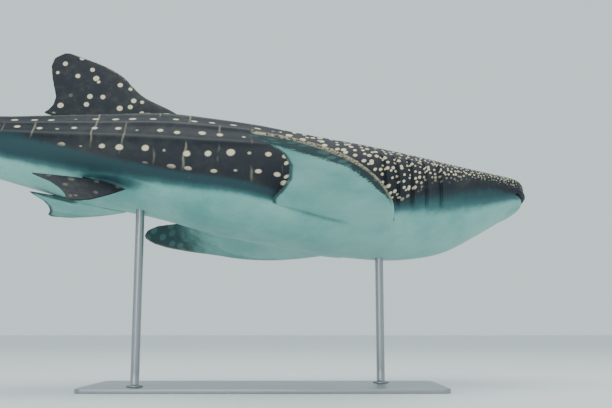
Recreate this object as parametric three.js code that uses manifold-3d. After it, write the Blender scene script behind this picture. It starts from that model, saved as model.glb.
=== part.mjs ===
import * as THREE from 'three';
import Module from 'manifold-3d';

// A life-size museum model of a whale shark about 6.5 m long, swimming, on a
// plain steel display stand. Millimetres, +Z up, +X towards the head. The
// origin is the centre of the underside of the stand's base.
//
// Every shape on the animal is written in fractions of its length and is
// placed from the body axis: u runs from 0 at the snout to 1 at the tip of
// the tail, y points to the animal's left and z to its back.

const wasm = await Module();
wasm.setup();

const LENGTH = 6500;
const GAP = 0.35;

// Where the axis stands at station AXIS_U, and how the body banks on the stand.
const AXIS_U = 0.44;
const AXIS_AT = new THREE.Vector3(-743, -218, 1500);
const ROLL = 12;

// Heading (positive turns the head to the animal's left) and climb of the
// axis, in degrees, at six stations.
const BEND_U = [0, 0.2, 0.44, 0.66, 0.85, 1.05];
const HEADING = [19, 21, 7, 2, -4, -8];
const CLIMB = [5.5, -1, -5.5, -11, -5, 0];

// Half width, height above the axis and depth below it at each station.
const PROFILE = [
  [0, 0.050, 0.011, 0.015],
  [0.03, 0.060, 0.018, 0.029],
  [0.065, 0.068, 0.025, 0.045],
  [0.10, 0.073, 0.032, 0.060],
  [0.15, 0.077, 0.042, 0.069],
  [0.22, 0.079, 0.052, 0.069],
  [0.30, 0.076, 0.059, 0.063],
  [0.38, 0.072, 0.066, 0.053],
  [0.44, 0.067, 0.068, 0.042],
  [0.52, 0.058, 0.055, 0.036],
  [0.62, 0.040, 0.035, 0.027],
  [0.70, 0.027, 0.025, 0.020],
  [0.76, 0.019, 0.018, 0.015],
  [0.82, 0.012, 0.012, 0.012],
];
const FRONT_WIDTH = 0.040;
const FRONT_HEIGHT = 0.016;
const BACK_POWER = 2.15;
const BELLY_POWER = 2.3;

// The flesh is divided across the axis at these stations.
const NECK_U = 0.125;
const GILL_END_U = 0.315;
const TRUNK_END_U = 0.61;
const STALK_END_U = 0.80;

// Skin ridges: the angle round the section from the side (0) to the back (90)
// and the height of the crest, both along the body.
const KEEL_ANGLE = [[0.33, 17], [0.40, 11.5], [0.5, 10], [0.58, 7], [0.66, 2], [0.8, 0]];
const KEEL_HEIGHT = [[0.32, 0], [0.40, 0.0042], [0.62, 0.0042], [0.74, 0.0075], [0.8, 0.004]];
const MIDDLE_ANGLE = [[0.36, 32], [0.5, 26.5], [0.6, 23], [0.68, 20]];
const MIDDLE_HEIGHT = [[0.28, 0], [0.36, 0.0026], [0.56, 0.0026], [0.66, 0]];
const UPPER_ANGLE = [[0.34, 46], [0.48, 42], [0.6, 42]];
const UPPER_HEIGHT = [[0.26, 0], [0.34, 0.0022], [0.58, 0.0022], [0.68, 0]];
const CREST_HEIGHT = [[0.06, 0], [0.14, 0.0022], [0.4, 0.0026], [0.6, 0.0016], [0.7, 0]];
const RIDGE_ABOVE = 0.012;
const RIDGE_BELOW = 0.004;

// Gill slits, front to rear.
const GILL_U = [0.146, 0.165, 0.183, 0.200, 0.215];
const GILL_LOW = -27;
const GILL_HIGH = 20;
const GILL_FLAP = 0.0013;
const GILL_GROOVE = 0.0020;
const GILL_STEP = 0.0006;

// Mouth: half width, height of its line at the middle, rise to the corners.
const MOUTH_HALF = 0.058;
const MOUTH_Z = -0.0155;
const MOUTH_RISE = 0.0035;
const MOUTH_OPEN = 0.0016;
const MOUTH_DEPTH = 0.013;
const LIP_RADIUS = 0.0019;

// Eye, spiracle and nostril.
const EYE_U = 0.052;
const EYE_ANGLE = 1;
const EYE_RADIUS = 25;
const EYE_PROUD = 9;
const LID_TUBE = 7;
const SPIRACLE_U = 0.070;
const SPIRACLE_ANGLE = 7;
const SPIRACLE_RADIUS = 13;
const NOSTRIL_Y = 0.036;
const NOSTRIL_RADIUS = 11;

// Fin outlines: [distance out from the root, place along the axis] for the
// leading and the trailing edge.
const PECTORAL = {
  lead: [[-0.03, 0.0475], [0, 0.0475], [0.02, 0.043], [0.05, 0.030], [0.09, 0.006],
    [0.13, -0.025], [0.16, -0.055], [0.178, -0.079], [0.184, -0.090], [0.187, -0.099]],
  trail: [[-0.03, -0.0475], [-0.004, -0.0475], [-0.001, -0.059], [0.003, -0.0685],
    [0.008, -0.0735], [0.014, -0.0755], [0.021, -0.0752], [0.03, -0.0712], [0.04, -0.0678],
    [0.06, -0.064], [0.09, -0.066], [0.12, -0.075], [0.15, -0.091], [0.17, -0.104],
    [0.182, -0.108], [0.187, -0.105]],
  rows: [-0.024, -0.004, -0.001, 0.003, 0.008, 0.014, 0.021, 0.03, 0.04, 0.054, 0.07, 0.09, 0.11,
    0.13, 0.147, 0.16, 0.17, 0.178, 0.184, 0.187],
  thick: [[-0.03, 0.0150], [0.02, 0.0135], [0.09, 0.0085], [0.16, 0.0042], [0.187, 0.0022]],
};
const PELVIC = {
  lead: [[-0.03, 0.024], [0, 0.024], [0.012, 0.014], [0.024, 0.002], [0.034, -0.010],
    [0.042, -0.022], [0.046, -0.034]],
  trail: [[-0.03, -0.024], [0, -0.024], [0.003, -0.076], [0.008, -0.070],
    [0.016, -0.056], [0.026, -0.047], [0.036, -0.042], [0.043, -0.041], [0.046, -0.040]],
  rows: [-0.016, -0.006, 0, 0.003, 0.008, 0.013, 0.019, 0.026, 0.033, 0.039, 0.043, 0.046],
  thick: [[-0.03, 0.0075], [0.01, 0.0060], [0.03, 0.0034], [0.046, 0.0018]],
};
const FIRST_DORSAL = {
  lead: [[-0.04, 0.060], [0, 0.054], [0.0155, 0.0307], [0.0275, -0.001], [0.040, -0.0185],
    [0.051, -0.031], [0.0633, -0.0590], [0.0692, -0.0825], [0.0715, -0.0925]],
  trail: [[-0.04, -0.062], [-0.0125, -0.064], [-0.0075, -0.111], [-0.003, -0.1055],
    [0.0045, -0.1010], [0.0148, -0.1000], [0.0379, -0.1085], [0.0533, -0.1125],
    [0.0645, -0.1105], [0.0715, -0.1005]],
  rows: [-0.032, -0.018, -0.0125, -0.0075, -0.003, 0.0015, 0.007, 0.0148, 0.023, 0.032,
    0.0415, 0.050, 0.0575, 0.0635, 0.068, 0.0715],
  thick: [[-0.04, 0.0150], [0.01, 0.0105], [0.04, 0.0060], [0.0715, 0.0026]],
};
const REAR_SCALE = 0.46;
const CAUDAL = {
  lead: [[-0.112, -0.100], [-0.10, -0.083], [-0.08, -0.060], [-0.05, -0.029], [-0.025, -0.006],
    [-0.010, 0.018], [0.010, 0.018], [0.03, -0.010], [0.06, -0.040], [0.10, -0.083],
    [0.14, -0.127], [0.17, -0.163], [0.190, -0.190], [0.197, -0.202]],
  trail: [[-0.112, -0.108], [-0.10, -0.1075], [-0.08, -0.101], [-0.05, -0.093],
    [-0.02, -0.088], [0, -0.087], [0.03, -0.092], [0.06, -0.104], [0.10, -0.130],
    [0.14, -0.161], [0.17, -0.187], [0.190, -0.206], [0.197, -0.211]],
  thick: [[-0.112, 0.0020], [-0.06, 0.0050], [-0.028, 0.0100], [-0.012, 0.0225],
    [0, 0.0262], [0.012, 0.0225], [0.03, 0.0110], [0.08, 0.0070], [0.14, 0.0042],
    [0.197, 0.0020]],
  upper: [0.0, 0.006, 0.012, 0.020, 0.030, 0.044, 0.060, 0.080, 0.10, 0.12, 0.14, 0.157,
    0.172, 0.184, 0.192, 0.197],
  lower: [-0.112, -0.107, -0.098, -0.087, -0.073, -0.058, -0.044, -0.031, -0.021, -0.013,
    -0.006, 0.0],
};
const CAUDAL_U = 0.79;
const CAUDAL_LEAN = 0.3;
const EDGE = 0.0006;
const CHORD = [0, 0.03, 0.12, 0.30, 0.52, 0.76, 1];

// How each paired fin is carried. side is 1 on the animal's left.
const POSES = {
  pectoral_fin_right: { side: -1, u: 0.254, angle: -40, lift: 13.0, incidence: -5.0,
    twist: -2, sweep: 11.7, curl: -1.62, long: 1.062, wide: 1.058 },
  pectoral_fin_left: { side: 1, u: 0.254, angle: -40, lift: 19.4, incidence: -5.3,
    twist: -39, sweep: 37.8, curl: -2.07, long: 1.004, wide: 1.017 },
  pelvic_fin_right: { side: -1, u: 0.490, angle: -54.8, lift: -45.9, incidence: -9.3,
    twist: 0, sweep: -15.7, curl: -1.2, long: 1.006, wide: 1.026 },
  pelvic_fin_left: { side: 1, u: 0.503, angle: -52.6, lift: -13.9, incidence: 11.5,
    twist: 0, sweep: 29.4, curl: 0.6, long: 1.1, wide: 1.027 },
};
const TWIST_SPAN = 0.12;

// Stand.
const BASE_LENGTH = 2500;
const BASE_WIDTH = 900;
const BASE_THICK = 30;
const BASE_CORNER = 60;
const ROD_RADIUS = 30;
const ROD_U = { stand_rod_front: 0.187, stand_rod_rear: 0.462 };

const SKIN_DARK = { color: 0x2b343c, roughness: 0.55, metalness: 0 };
const SKIN_GILL = { color: 0x3a454b, roughness: 0.55, metalness: 0 };
const SKIN_PALE = { color: 0x9db0ac, roughness: 0.55, metalness: 0 };
const EYE_BLACK = { color: 0x0d0f12, roughness: 0.12, metalness: 0 };
const STEEL = { color: 0x8d9297, roughness: 0.38, metalness: 0.9 };

const rad = THREE.MathUtils.degToRad;

// Smooth curve through a table [[x, value], ...], level with its neighbours.
function along(table, x, column = 1) {
  const last = table.length - 1;
  let i = 0;
  while (i < last - 1 && x > table[i + 1][0]) i += 1;
  const slope = (k) => (table[k + 1][column] - table[k][column]) / (table[k + 1][0] - table[k][0]);
  const step = (k) => table[k + 1][0] - table[k][0];
  const tangent = (k) => {
    if (k === 0) return slope(0);
    if (k === last) return slope(last - 1);
    return (slope(k - 1) * step(k) + slope(k) * step(k - 1)) / (step(k - 1) + step(k));
  };
  const h = step(i);
  const t = (x - table[i][0]) / h;
  return (1 + 2 * t) * (1 - t) ** 2 * table[i][column] + t * (1 - t) ** 2 * h * tangent(i)
    + t * t * (3 - 2 * t) * table[i + 1][column] + t * t * (t - 1) * h * tangent(i + 1);
}

// Straight lines through a table, held level outside it.
function straight(table, x) {
  if (x <= table[0][0]) return table[0][1];
  for (let i = 1; i < table.length; i += 1) {
    if (x <= table[i][0]) {
      const t = (x - table[i - 1][0]) / (table[i][0] - table[i - 1][0]);
      return table[i - 1][1] * (1 - t) + table[i][1] * t;
    }
  }
  return table[table.length - 1][1];
}

const clamp = THREE.MathUtils.clamp;
const ease = THREE.MathUtils.smoothstep;

// The axis: directions and points on a fine set of stations.
const AXIS_STEPS = 525;
const AXIS_LAST = 1.05;
const headings = BEND_U.map((u, i) => [u, HEADING[i]]);
const climbs = BEND_U.map((u, i) => [u, CLIMB[i]]);

function frameAt(u) {
  const yaw = rad(along(headings, u));
  const climb = rad(along(climbs, u));
  const roll = rad(ROLL);
  const ahead = new THREE.Vector3(
    Math.cos(climb) * Math.cos(yaw), Math.cos(climb) * Math.sin(yaw), Math.sin(climb));
  const level = new THREE.Vector3(-Math.sin(yaw), Math.cos(yaw), 0);
  const rise = new THREE.Vector3().crossVectors(ahead, level);
  const left = level.clone().multiplyScalar(Math.cos(roll)).addScaledVector(rise, -Math.sin(roll));
  const up = rise.clone().multiplyScalar(Math.cos(roll)).addScaledVector(level, Math.sin(roll));
  return { ahead, left, up };
}

const axisPoints = [new THREE.Vector3()];
for (let i = 1; i <= AXIS_STEPS; i += 1) {
  const du = AXIS_LAST / AXIS_STEPS;
  const mean = frameAt((i - 1) * du).ahead.add(frameAt(i * du).ahead).multiplyScalar(0.5);
  axisPoints.push(axisPoints[i - 1].clone().addScaledVector(mean, -LENGTH * du));
}

function axisRaw(u) {
  const x = clamp(u / AXIS_LAST, 0, 1) * AXIS_STEPS;
  const i = Math.min(Math.floor(x), AXIS_STEPS - 1);
  return axisPoints[i].clone().lerp(axisPoints[i + 1], x - i);
}
const axisShift = AXIS_AT.clone().sub(axisRaw(AXIS_U));

// A place u along the axis, y to the left and z to the back of it.
function place(u, y, z) {
  const f = frameAt(u);
  return axisRaw(u).add(axisShift).addScaledVector(f.left, LENGTH * y)
    .addScaledVector(f.up, LENGTH * z);
}

// Rounding of the front end: 0 at the snout, 1 beyond the given length.
function blunt(u, length, power) {
  const q = clamp(u / length, 0, 1);
  return (1 - (1 - q) ** power) ** (1 / power);
}

function sizesAt(u) {
  return {
    w: along(PROFILE, u, 1) * blunt(u, FRONT_WIDTH, 2.4),
    t: along(PROFILE, u, 2) * blunt(u, FRONT_HEIGHT, 2),
    b: along(PROFILE, u, 3) * blunt(u, FRONT_HEIGHT, 2),
  };
}

// One ridge: a crest that falls gently upwards and steeply downwards.
function ridge(across) {
  const width = across > 0 ? RIDGE_ABOVE : RIDGE_BELOW;
  return Math.exp(-((across / width) ** 2));
}

// How far the skin stands off the plain section, with ridges and gill flaps.
function relief(u, degrees) {
  const side = Math.abs(90 - Math.abs(((degrees + 270) % 360) - 180));
  const angle = degrees > 180 || degrees < 0 ? -side : side;
  const size = sizesAt(u);
  const reach = (size.w + size.t) / 2;
  let h = 0;
  const lines = [[KEEL_ANGLE, KEEL_HEIGHT], [MIDDLE_ANGLE, MIDDLE_HEIGHT],
    [UPPER_ANGLE, UPPER_HEIGHT]];
  for (const [at, height] of lines) {
    h += straight(height, u) * ridge(rad(angle - straight(at, u)) * reach);
  }
  h += straight(CREST_HEIGHT, u) * Math.exp(-((rad(angle - 90) * reach / RIDGE_ABOVE) ** 2));
  const band = ease(angle, GILL_LOW - 5, GILL_LOW + 3) * (1 - ease(angle, GILL_HIGH - 3, GILL_HIGH + 5));
  for (const slit of GILL_U) {
    const x = u - slit;
    if (x < 0) h += band * GILL_FLAP * Math.exp((x + GILL_STEP) / 0.009);
    else h -= band * GILL_GROOVE * Math.exp(-(x - GILL_STEP) / 0.004);
  }
  return h;
}

// Point of the skin at station u and angle round the section, in degrees:
// 0 the left side, 90 the back, 180 the right side.
function skin(u, degrees, grow = 0) {
  const size = sizesAt(u);
  const c = Math.cos(rad(degrees));
  const s = Math.sin(rad(degrees));
  const high = s >= 0 ? size.t : size.b;
  const power = s >= 0 ? BACK_POWER : BELLY_POWER;
  const wide = size.w || 1e-9;
  const tall = high || 1e-9;
  const bend = (v, p) => Math.sign(v) * Math.abs(v) ** p;
  const normal = new THREE.Vector2(
    bend(c, 2 - 2 / power) / wide, bend(s, 2 - 2 / power) / tall).normalize();
  const off = relief(u, degrees) + grow / LENGTH;
  return place(u, size.w * bend(c, 2 / power) + normal.x * off,
    high * bend(s, 2 / power) + normal.y * off);
}

// Closed solid through a row of equal rings; flat ends unless a ring is one point.
function loft(rings, flips = () => false) {
  const points = [];
  const faces = [];
  const starts = rings.map((ring) => {
    const start = points.length;
    points.push(...ring);
    return start;
  });
  const n = Math.max(rings[0].length, rings[1].length);
  for (let i = 0; i + 1 < rings.length; i += 1) {
    const a = starts[i];
    const b = starts[i + 1];
    for (let j = 0; j < n; j += 1) {
      const k = (j + 1) % n;
      if (rings[i].length === 1) faces.push([a, b + k, b + j]);
      else if (rings[i + 1].length === 1) faces.push([a + j, a + k, b]);
      else if (flips(j)) faces.push([a + j, a + k, b + j], [a + k, b + k, b + j]);
      else faces.push([a + j, a + k, b + k], [a + j, b + k, b + j]);
    }
  }
  const cap = (start, turned) => {
    const middle = new THREE.Vector3();
    for (let j = 0; j < n; j += 1) middle.addScaledVector(points[start + j], 1 / n);
    points.push(middle);
    for (let j = 0; j < n; j += 1) {
      const k = (j + 1) % n;
      faces.push(turned ? [points.length - 1, start + k, start + j]
        : [points.length - 1, start + j, start + k]);
    }
  };
  if (rings[0].length > 1) cap(starts[0], true);
  if (rings[rings.length - 1].length > 1) cap(starts[starts.length - 1], false);
  let volume = 0;
  for (const [a, b, c] of faces) {
    volume += points[a].dot(new THREE.Vector3().crossVectors(points[b], points[c]));
  }
  if (volume < 0) faces.forEach((face) => face.reverse());
  const geometry = new THREE.BufferGeometry();
  geometry.setAttribute('position', new THREE.Float32BufferAttribute(
    points.flatMap((p) => [p.x, p.y, p.z]), 3));
  geometry.setIndex(faces.flat());
  return geometry;
}

function toSolid(geometry) {
  return new wasm.Manifold(new wasm.Mesh({
    numProp: 3,
    vertProperties: new Float32Array(geometry.getAttribute('position').array),
    triVerts: new Uint32Array(geometry.getIndex().array),
  }));
}

function toGeometry(solid) {
  const mesh = solid.getMesh();
  const geometry = new THREE.BufferGeometry();
  geometry.setAttribute('position', new THREE.Float32BufferAttribute(
    Array.from(mesh.vertProperties), 3));
  geometry.setIndex(Array.from(mesh.triVerts));
  return geometry;
}

// The largest piece left of a solid after a cut.
function mainPiece(solid) {
  return solid.decompose().sort((a, b) => b.volume() - a.volume())[0];
}

// A ball of one seam-free mesh, stretched along three axes.
function ball(centre, axes, around = 20, rows = 10) {
  const rings = [];
  for (let i = 0; i <= rows; i += 1) {
    const v = Math.PI * i / rows;
    const ring = [];
    for (let j = 0; j < (i % rows ? around : 1); j += 1) {
      const w = 2 * Math.PI * j / around;
      ring.push(centre.clone().addScaledVector(axes[0], Math.sin(v) * Math.cos(w))
        .addScaledVector(axes[1], Math.sin(v) * Math.sin(w))
        .addScaledVector(axes[2], Math.cos(v)));
    }
    rings.push(ring);
  }
  return loft(rings);
}

// A round bar through points, each with its own radius.
function bar(points, radii, sides = 8) {
  const rings = points.map((p, i) => {
    const before = points[Math.max(i - 1, 0)];
    const after = points[Math.min(i + 1, points.length - 1)];
    const ahead = after.clone().sub(before).normalize();
    const across = new THREE.Vector3(0, 0, 1).cross(ahead).normalize();
    const over = new THREE.Vector3().crossVectors(ahead, across);
    return Array.from({ length: sides }, (_, j) => {
      const w = 2 * Math.PI * (j + 0.5) / sides;
      return p.clone().addScaledVector(across, radii[i] * Math.cos(w))
        .addScaledVector(over, radii[i] * Math.sin(w));
    });
  });
  return loft(rings);
}

// Angles of the lengthwise grid lines at station u: the right half from the
// belly up to the back, then the left half down again. The lines drawn at 12,
// 30 and 44 are moved so that they run along the crests of the three ridges.
function gridAngles(u) {
  const moved = [[-90, -90], [-40, -40], [12, straight(KEEL_ANGLE, u)],
    [30, straight(MIDDLE_ANGLE, u)], [44, straight(UPPER_ANGLE, u)], [90, 90]];
  const sink = (angle) => straight(moved, angle);
  const half = [-90, -79, -68, -58, -48, -39, -31, -23, -15, -6, 2, 7.5, 12, 18, 25.5, 30, 36,
    40, 44, 50, 57, 66, 76, 85];
  const list = half.map((angle) => 180 - sink(angle));
  list.push(90);
  for (let i = half.length - 1; i > 0; i -= 1) list.push(sink(half[i]));
  return list;
}

function bodyRing(u, grow = 0) {
  return gridAngles(u).map((angle) => skin(u, (angle + 360) % 360, grow));
}

function spread(from, to, count) {
  return Array.from({ length: count + 1 }, (_, i) => from + (to - from) * i / count);
}

const SEAM = 0.16 / LENGTH;
const headStations = [0.0006, 0.002, 0.0045, 0.008, 0.0125, 0.018, 0.0245, 0.032, 0.041, 0.051,
  0.062, 0.074, 0.087, 0.100, 0.113];
const gillStations = GILL_U.flatMap((u, i) => {
  const next = GILL_U[i + 1] || u + 0.014;
  return [u - GILL_STEP, u + GILL_STEP, u + 0.0045, (u + next) / 2 + 0.002];
});
const bodyParts = {
  head: [...headStations, NECK_U - SEAM],
  gill_region: [NECK_U + SEAM, 0.136, ...gillStations, 0.238, 0.256, 0.274, 0.293,
    GILL_END_U - SEAM],
  trunk: [GILL_END_U + SEAM, ...spread(0.328, 0.596, 19), TRUNK_END_U - SEAM],
  tail_stalk: [TRUNK_END_U + SEAM, ...spread(0.625, 0.787, 10), STALK_END_U - SEAM],
};

function bodySolid(stations, grow = 0) {
  const rings = stations.map((u) => bodyRing(u, grow));
  if (stations[0] < 0.001) rings.unshift([place(-grow / LENGTH, 0, 0)]);
  return loft(rings);
}

const grownBody = toSolid(bodySolid([
  ...bodyParts.head.slice(0, -1), NECK_U, ...bodyParts.gill_region.slice(1, -1), GILL_END_U,
  ...bodyParts.trunk.slice(1, -1), TRUNK_END_U, ...bodyParts.tail_stalk.slice(1, -1),
  STALK_END_U + GAP / LENGTH], GAP));

// The mouth runs round the front of the head, level with MOUTH_Z. This gives
// the point of that line y to the side of the axis, and the way out from it.
function mouthHeight(y) {
  return MOUTH_Z + MOUTH_RISE * (y / MOUTH_HALF) ** 2;
}

function frontStation(y, z) {
  let low = 0.0001;
  let high = 0.12;
  for (let i = 0; i < 40; i += 1) {
    const u = (low + high) / 2;
    const size = sizesAt(u);
    const tall = z < 0 ? size.b : size.t;
    const power = z < 0 ? BELLY_POWER : BACK_POWER;
    if (Math.abs(y / size.w) ** power + Math.abs(z / tall) ** power > 1) low = u;
    else high = u;
  }
  return high;
}

function mouthPoint(y, lift, out) {
  const z = mouthHeight(y) + lift;
  const step = 0.0008;
  const u = frontStation(y, z);
  const slope = (frontStation(y + step, z) - frontStation(y - step, z)) / (2 * step);
  const long = Math.hypot(1, slope);
  return place(u - out / long, y + out * slope / long, z);
}

const mouthYs = spread(-1, 1, 36).map((s) => MOUTH_HALF * Math.sin(s * Math.PI / 2));

function mouthSlit() {
  const rings = mouthYs.map((y) => {
    const open = MOUTH_OPEN * (1 - 0.75 * (y / MOUTH_HALF) ** 2);
    const back = MOUTH_DEPTH * (1 - 0.6 * (y / MOUTH_HALF) ** 4);
    return [mouthPoint(y, open, 0.006), mouthPoint(y, -open, 0.006),
      mouthPoint(y, -open, -back * 0.5), mouthPoint(y, -open * 0.3, -back),
      mouthPoint(y, open * 0.3, -back), mouthPoint(y, open, -back * 0.5)];
  });
  return toSolid(loft(rings));
}

function lip(sign) {
  const reach = 1.05;
  const ys = mouthYs.map((y) => y * reach);
  const points = ys.map((y) => {
    const open = MOUTH_OPEN * Math.max(0.2, 1 - 0.75 * (y / MOUTH_HALF) ** 2);
    return mouthPoint(y, sign * (open + LIP_RADIUS * 0.75), -LIP_RADIUS * 0.35);
  });
  const radii = ys.map((y) => LENGTH * LIP_RADIUS
    * Math.sqrt(Math.max(0.06, 1 - (y / (MOUTH_HALF * reach)) ** 4)));
  return toSolid(bar(points, radii));
}

// Frame on the skin: the point, the way out of it, forward and across.
function skinFrame(u, degrees) {
  const at = skin(u, degrees);
  const ahead = skin(u - 0.002, degrees).sub(skin(u + 0.002, degrees)).normalize();
  const across = skin(u, degrees + 1).sub(skin(u, degrees - 1)).normalize();
  const out = new THREE.Vector3().crossVectors(ahead, across).normalize();
  const fromAxis = at.clone().sub(place(u, 0, 0));
  if (out.dot(fromAxis) < 0) out.negate();
  return { at, ahead, across, out };
}

function eyeCentre(side) {
  const f = skinFrame(EYE_U, side > 0 ? EYE_ANGLE : 180 - EYE_ANGLE);
  return { ...f, centre: f.at.clone().addScaledVector(f.out, EYE_PROUD - EYE_RADIUS) };
}

function eyeball(side, grow = 0) {
  const f = eyeCentre(side);
  const r = EYE_RADIUS + grow;
  return ball(f.centre, [f.ahead.multiplyScalar(r), f.across.multiplyScalar(r),
    f.out.multiplyScalar(r)]);
}

function eyelid(side) {
  const f = eyeCentre(side);
  const radius = EYE_RADIUS + 1;
  const rings = Array.from({ length: 25 }, (_, i) => {
    const w = 2 * Math.PI * i / 24;
    const spoke = f.ahead.clone().multiplyScalar(Math.cos(w)).addScaledVector(f.across, Math.sin(w));
    return Array.from({ length: 6 }, (__, j) => {
      const v = 2 * Math.PI * j / 6;
      return f.at.clone().addScaledVector(spoke, radius + LID_TUBE * Math.cos(v))
        .addScaledVector(f.out, LID_TUBE * (Math.sin(v) - 0.35));
    });
  });
  const half = [rings.slice(0, 14), rings.slice(12)];
  return half.map((part) => toSolid(loft(part)));
}

function headSolid() {
  let solid = toSolid(bodySolid(bodyParts.head));
  solid = solid.add(lip(1)).add(lip(-1));
  for (const side of [1, -1]) {
    for (const lid of eyelid(side)) solid = solid.add(lid);
    const nose = mouthPoint(side * NOSTRIL_Y, 0.0068, 0);
    const f = skinFrame(frontStation(NOSTRIL_Y, mouthHeight(NOSTRIL_Y) + 0.0068),
      side > 0 ? -12 : 192);
    const flap = ball(nose.clone().addScaledVector(f.ahead, 2), [
      f.ahead.clone().multiplyScalar(NOSTRIL_RADIUS * 1.1),
      f.out.clone().multiplyScalar(NOSTRIL_RADIUS * 1.4),
      new THREE.Vector3(0, 0, NOSTRIL_RADIUS * 0.8)], 12, 6);
    solid = solid.add(toSolid(flap));
  }
  solid = solid.subtract(mouthSlit());
  for (const side of [1, -1]) {
    solid = solid.subtract(toSolid(eyeball(side, GAP)));
    const f = skinFrame(SPIRACLE_U, side > 0 ? SPIRACLE_ANGLE : 180 - SPIRACLE_ANGLE);
    const pit = ball(f.at.clone().addScaledVector(f.out, 3), [
      f.ahead.clone().multiplyScalar(SPIRACLE_RADIUS * 1.2),
      f.across.clone().multiplyScalar(SPIRACLE_RADIUS),
      f.out.clone().multiplyScalar(SPIRACLE_RADIUS * 1.3)], 12, 6);
    solid = solid.subtract(toSolid(pit));
    const nose = mouthPoint(side * (NOSTRIL_Y + 0.0022), 0.0105, 0.0002);
    const hole = ball(nose, [f.ahead.clone().multiplyScalar(NOSTRIL_RADIUS * 0.8),
      f.out.clone().multiplyScalar(NOSTRIL_RADIUS * 1.3),
      new THREE.Vector3(0, 0, NOSTRIL_RADIUS * 0.8)], 12, 6);
    solid = solid.subtract(toSolid(hole));
  }
  return toGeometry(mainPiece(solid));
}

// Fin section: both faces of a blade that is thickest a third of the way back.
function finRing(at, lead, trail, thick) {
  const fold = (c) => thick / 2 * Math.sqrt(c) * (1 - c) / 0.385 + EDGE / 2;
  const chord = (c) => lead + (trail - lead) * c;
  const top = CHORD.map((c) => at(chord(c), fold(c)));
  const under = CHORD.map((c) => at(chord(c), -fold(c))).reverse();
  return [...top, ...under];
}

const mirrored = (j) => j >= CHORD.length;

// A paired fin: its root lies on the skin, it lifts from the side, sweeps back,
// pitches about its own span and bends towards its underside.
function pairedFin(shape, pose) {
  const f = frameAt(pose.u);
  const root = skin(pose.u, (pose.side > 0 ? pose.angle : 180 - pose.angle) + 360);
  const out = f.left.clone().multiplyScalar(pose.side);
  const lift = rad(pose.lift);
  const sweep = rad(pose.sweep);
  const span0 = out.clone().multiplyScalar(Math.cos(lift)).addScaledVector(f.up, Math.sin(lift));
  const top = f.up.clone().multiplyScalar(Math.cos(lift)).addScaledVector(out, -Math.sin(lift));
  const span = span0.clone().multiplyScalar(Math.cos(sweep))
    .addScaledVector(f.ahead, -Math.sin(sweep));
  const fore = f.ahead.clone().multiplyScalar(Math.cos(sweep))
    .addScaledVector(span0, Math.sin(sweep));
  const pitched = (degrees) => {
    const i = rad(degrees);
    return {
      chord: fore.clone().multiplyScalar(Math.cos(i)).addScaledVector(top, Math.sin(i)),
      face: top.clone().multiplyScalar(Math.cos(i)).addScaledVector(fore, -Math.sin(i)),
    };
  };
  const level = pitched(pose.incidence);
  return loft(shape.rows.map((row) => {
    const b = row * pose.wide;
    const here = pitched(pose.incidence + pose.twist * clamp(b / TWIST_SPAN, 0, 1));
    const bend = pose.curl * Math.max(b, 0) ** 2;
    const at = (a, n) => root.clone().addScaledVector(span, LENGTH * b)
      .addScaledVector(level.face, LENGTH * bend)
      .addScaledVector(here.chord, LENGTH * a).addScaledVector(here.face, LENGTH * n);
    return finRing(at, along(shape.lead, row) * pose.long, straight(shape.trail, row) * pose.long,
      straight(shape.thick, row));
  }), mirrored);
}

// A fin in the middle plane, standing on the back (way 1) or below (way -1).
function middleFin(shape, u, height, scale, way, rows, lean = 0) {
  const f = frameAt(u);
  const root = place(u, 0, height);
  return loft(rows.map((row) => {
    const b = row * scale;
    const at = (a, n) => root.clone().addScaledVector(f.up, way * LENGTH * b)
      .addScaledVector(f.ahead, LENGTH * a * scale)
      .addScaledVector(f.left, LENGTH * (n * scale + lean * b * b));
    return finRing(at, along(shape.lead, row), straight(shape.trail, row),
      straight(shape.thick, row));
  }), mirrored);
}

function cutByBody(geometry) {
  return toGeometry(mainPiece(toSolid(geometry).subtract(grownBody)));
}

// Stand: a plate with round corners and two rods up into the belly.
function standBase() {
  const x = BASE_LENGTH / 2 - BASE_CORNER;
  const y = BASE_WIDTH / 2 - BASE_CORNER;
  const outline = new THREE.Shape();
  outline.absarc(x, y, BASE_CORNER, 0, Math.PI / 2);
  outline.absarc(-x, y, BASE_CORNER, Math.PI / 2, Math.PI);
  outline.absarc(-x, -y, BASE_CORNER, Math.PI, Math.PI * 1.5);
  outline.absarc(x, -y, BASE_CORNER, Math.PI * 1.5, Math.PI * 2);
  return new THREE.ExtrudeGeometry(outline, { depth: BASE_THICK, bevelEnabled: false, curveSegments: 8 });
}

function standRod(u) {
  const foot = place(u, 0, -0.02);
  const top = foot.z;
  foot.z = BASE_THICK + GAP;
  const rings = [foot.z, top].map((z) => Array.from({ length: 24 }, (_, j) => {
    const w = 2 * Math.PI * j / 24;
    return new THREE.Vector3(foot.x + ROD_RADIUS * Math.cos(w), foot.y + ROD_RADIUS * Math.sin(w), z);
  }));
  const pieces = toSolid(loft(rings)).subtract(grownBody).decompose();
  pieces.sort((a, b) => a.boundingBox().min[2] - b.boundingBox().min[2]);
  return toGeometry(pieces[0]);
}

const shark = new THREE.Group();

function addMesh(name, geometry, look) {
  const mesh = new THREE.Mesh(geometry, new THREE.MeshStandardMaterial(look));
  mesh.name = name;
  shark.add(mesh);
}

addMesh('head', headSolid(), SKIN_DARK);
addMesh('gill_region', bodySolid(bodyParts.gill_region), SKIN_GILL);
addMesh('trunk', bodySolid(bodyParts.trunk), SKIN_DARK);
addMesh('tail_stalk', bodySolid(bodyParts.tail_stalk), SKIN_GILL);
addMesh('eye_left', eyeball(1), EYE_BLACK);
addMesh('eye_right', eyeball(-1), EYE_BLACK);

for (const [name, pose] of Object.entries(POSES)) {
  const shape = name.startsWith('pectoral') ? PECTORAL : PELVIC;
  addMesh(name, cutByBody(pairedFin(shape, pose)), SKIN_PALE);
}

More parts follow.
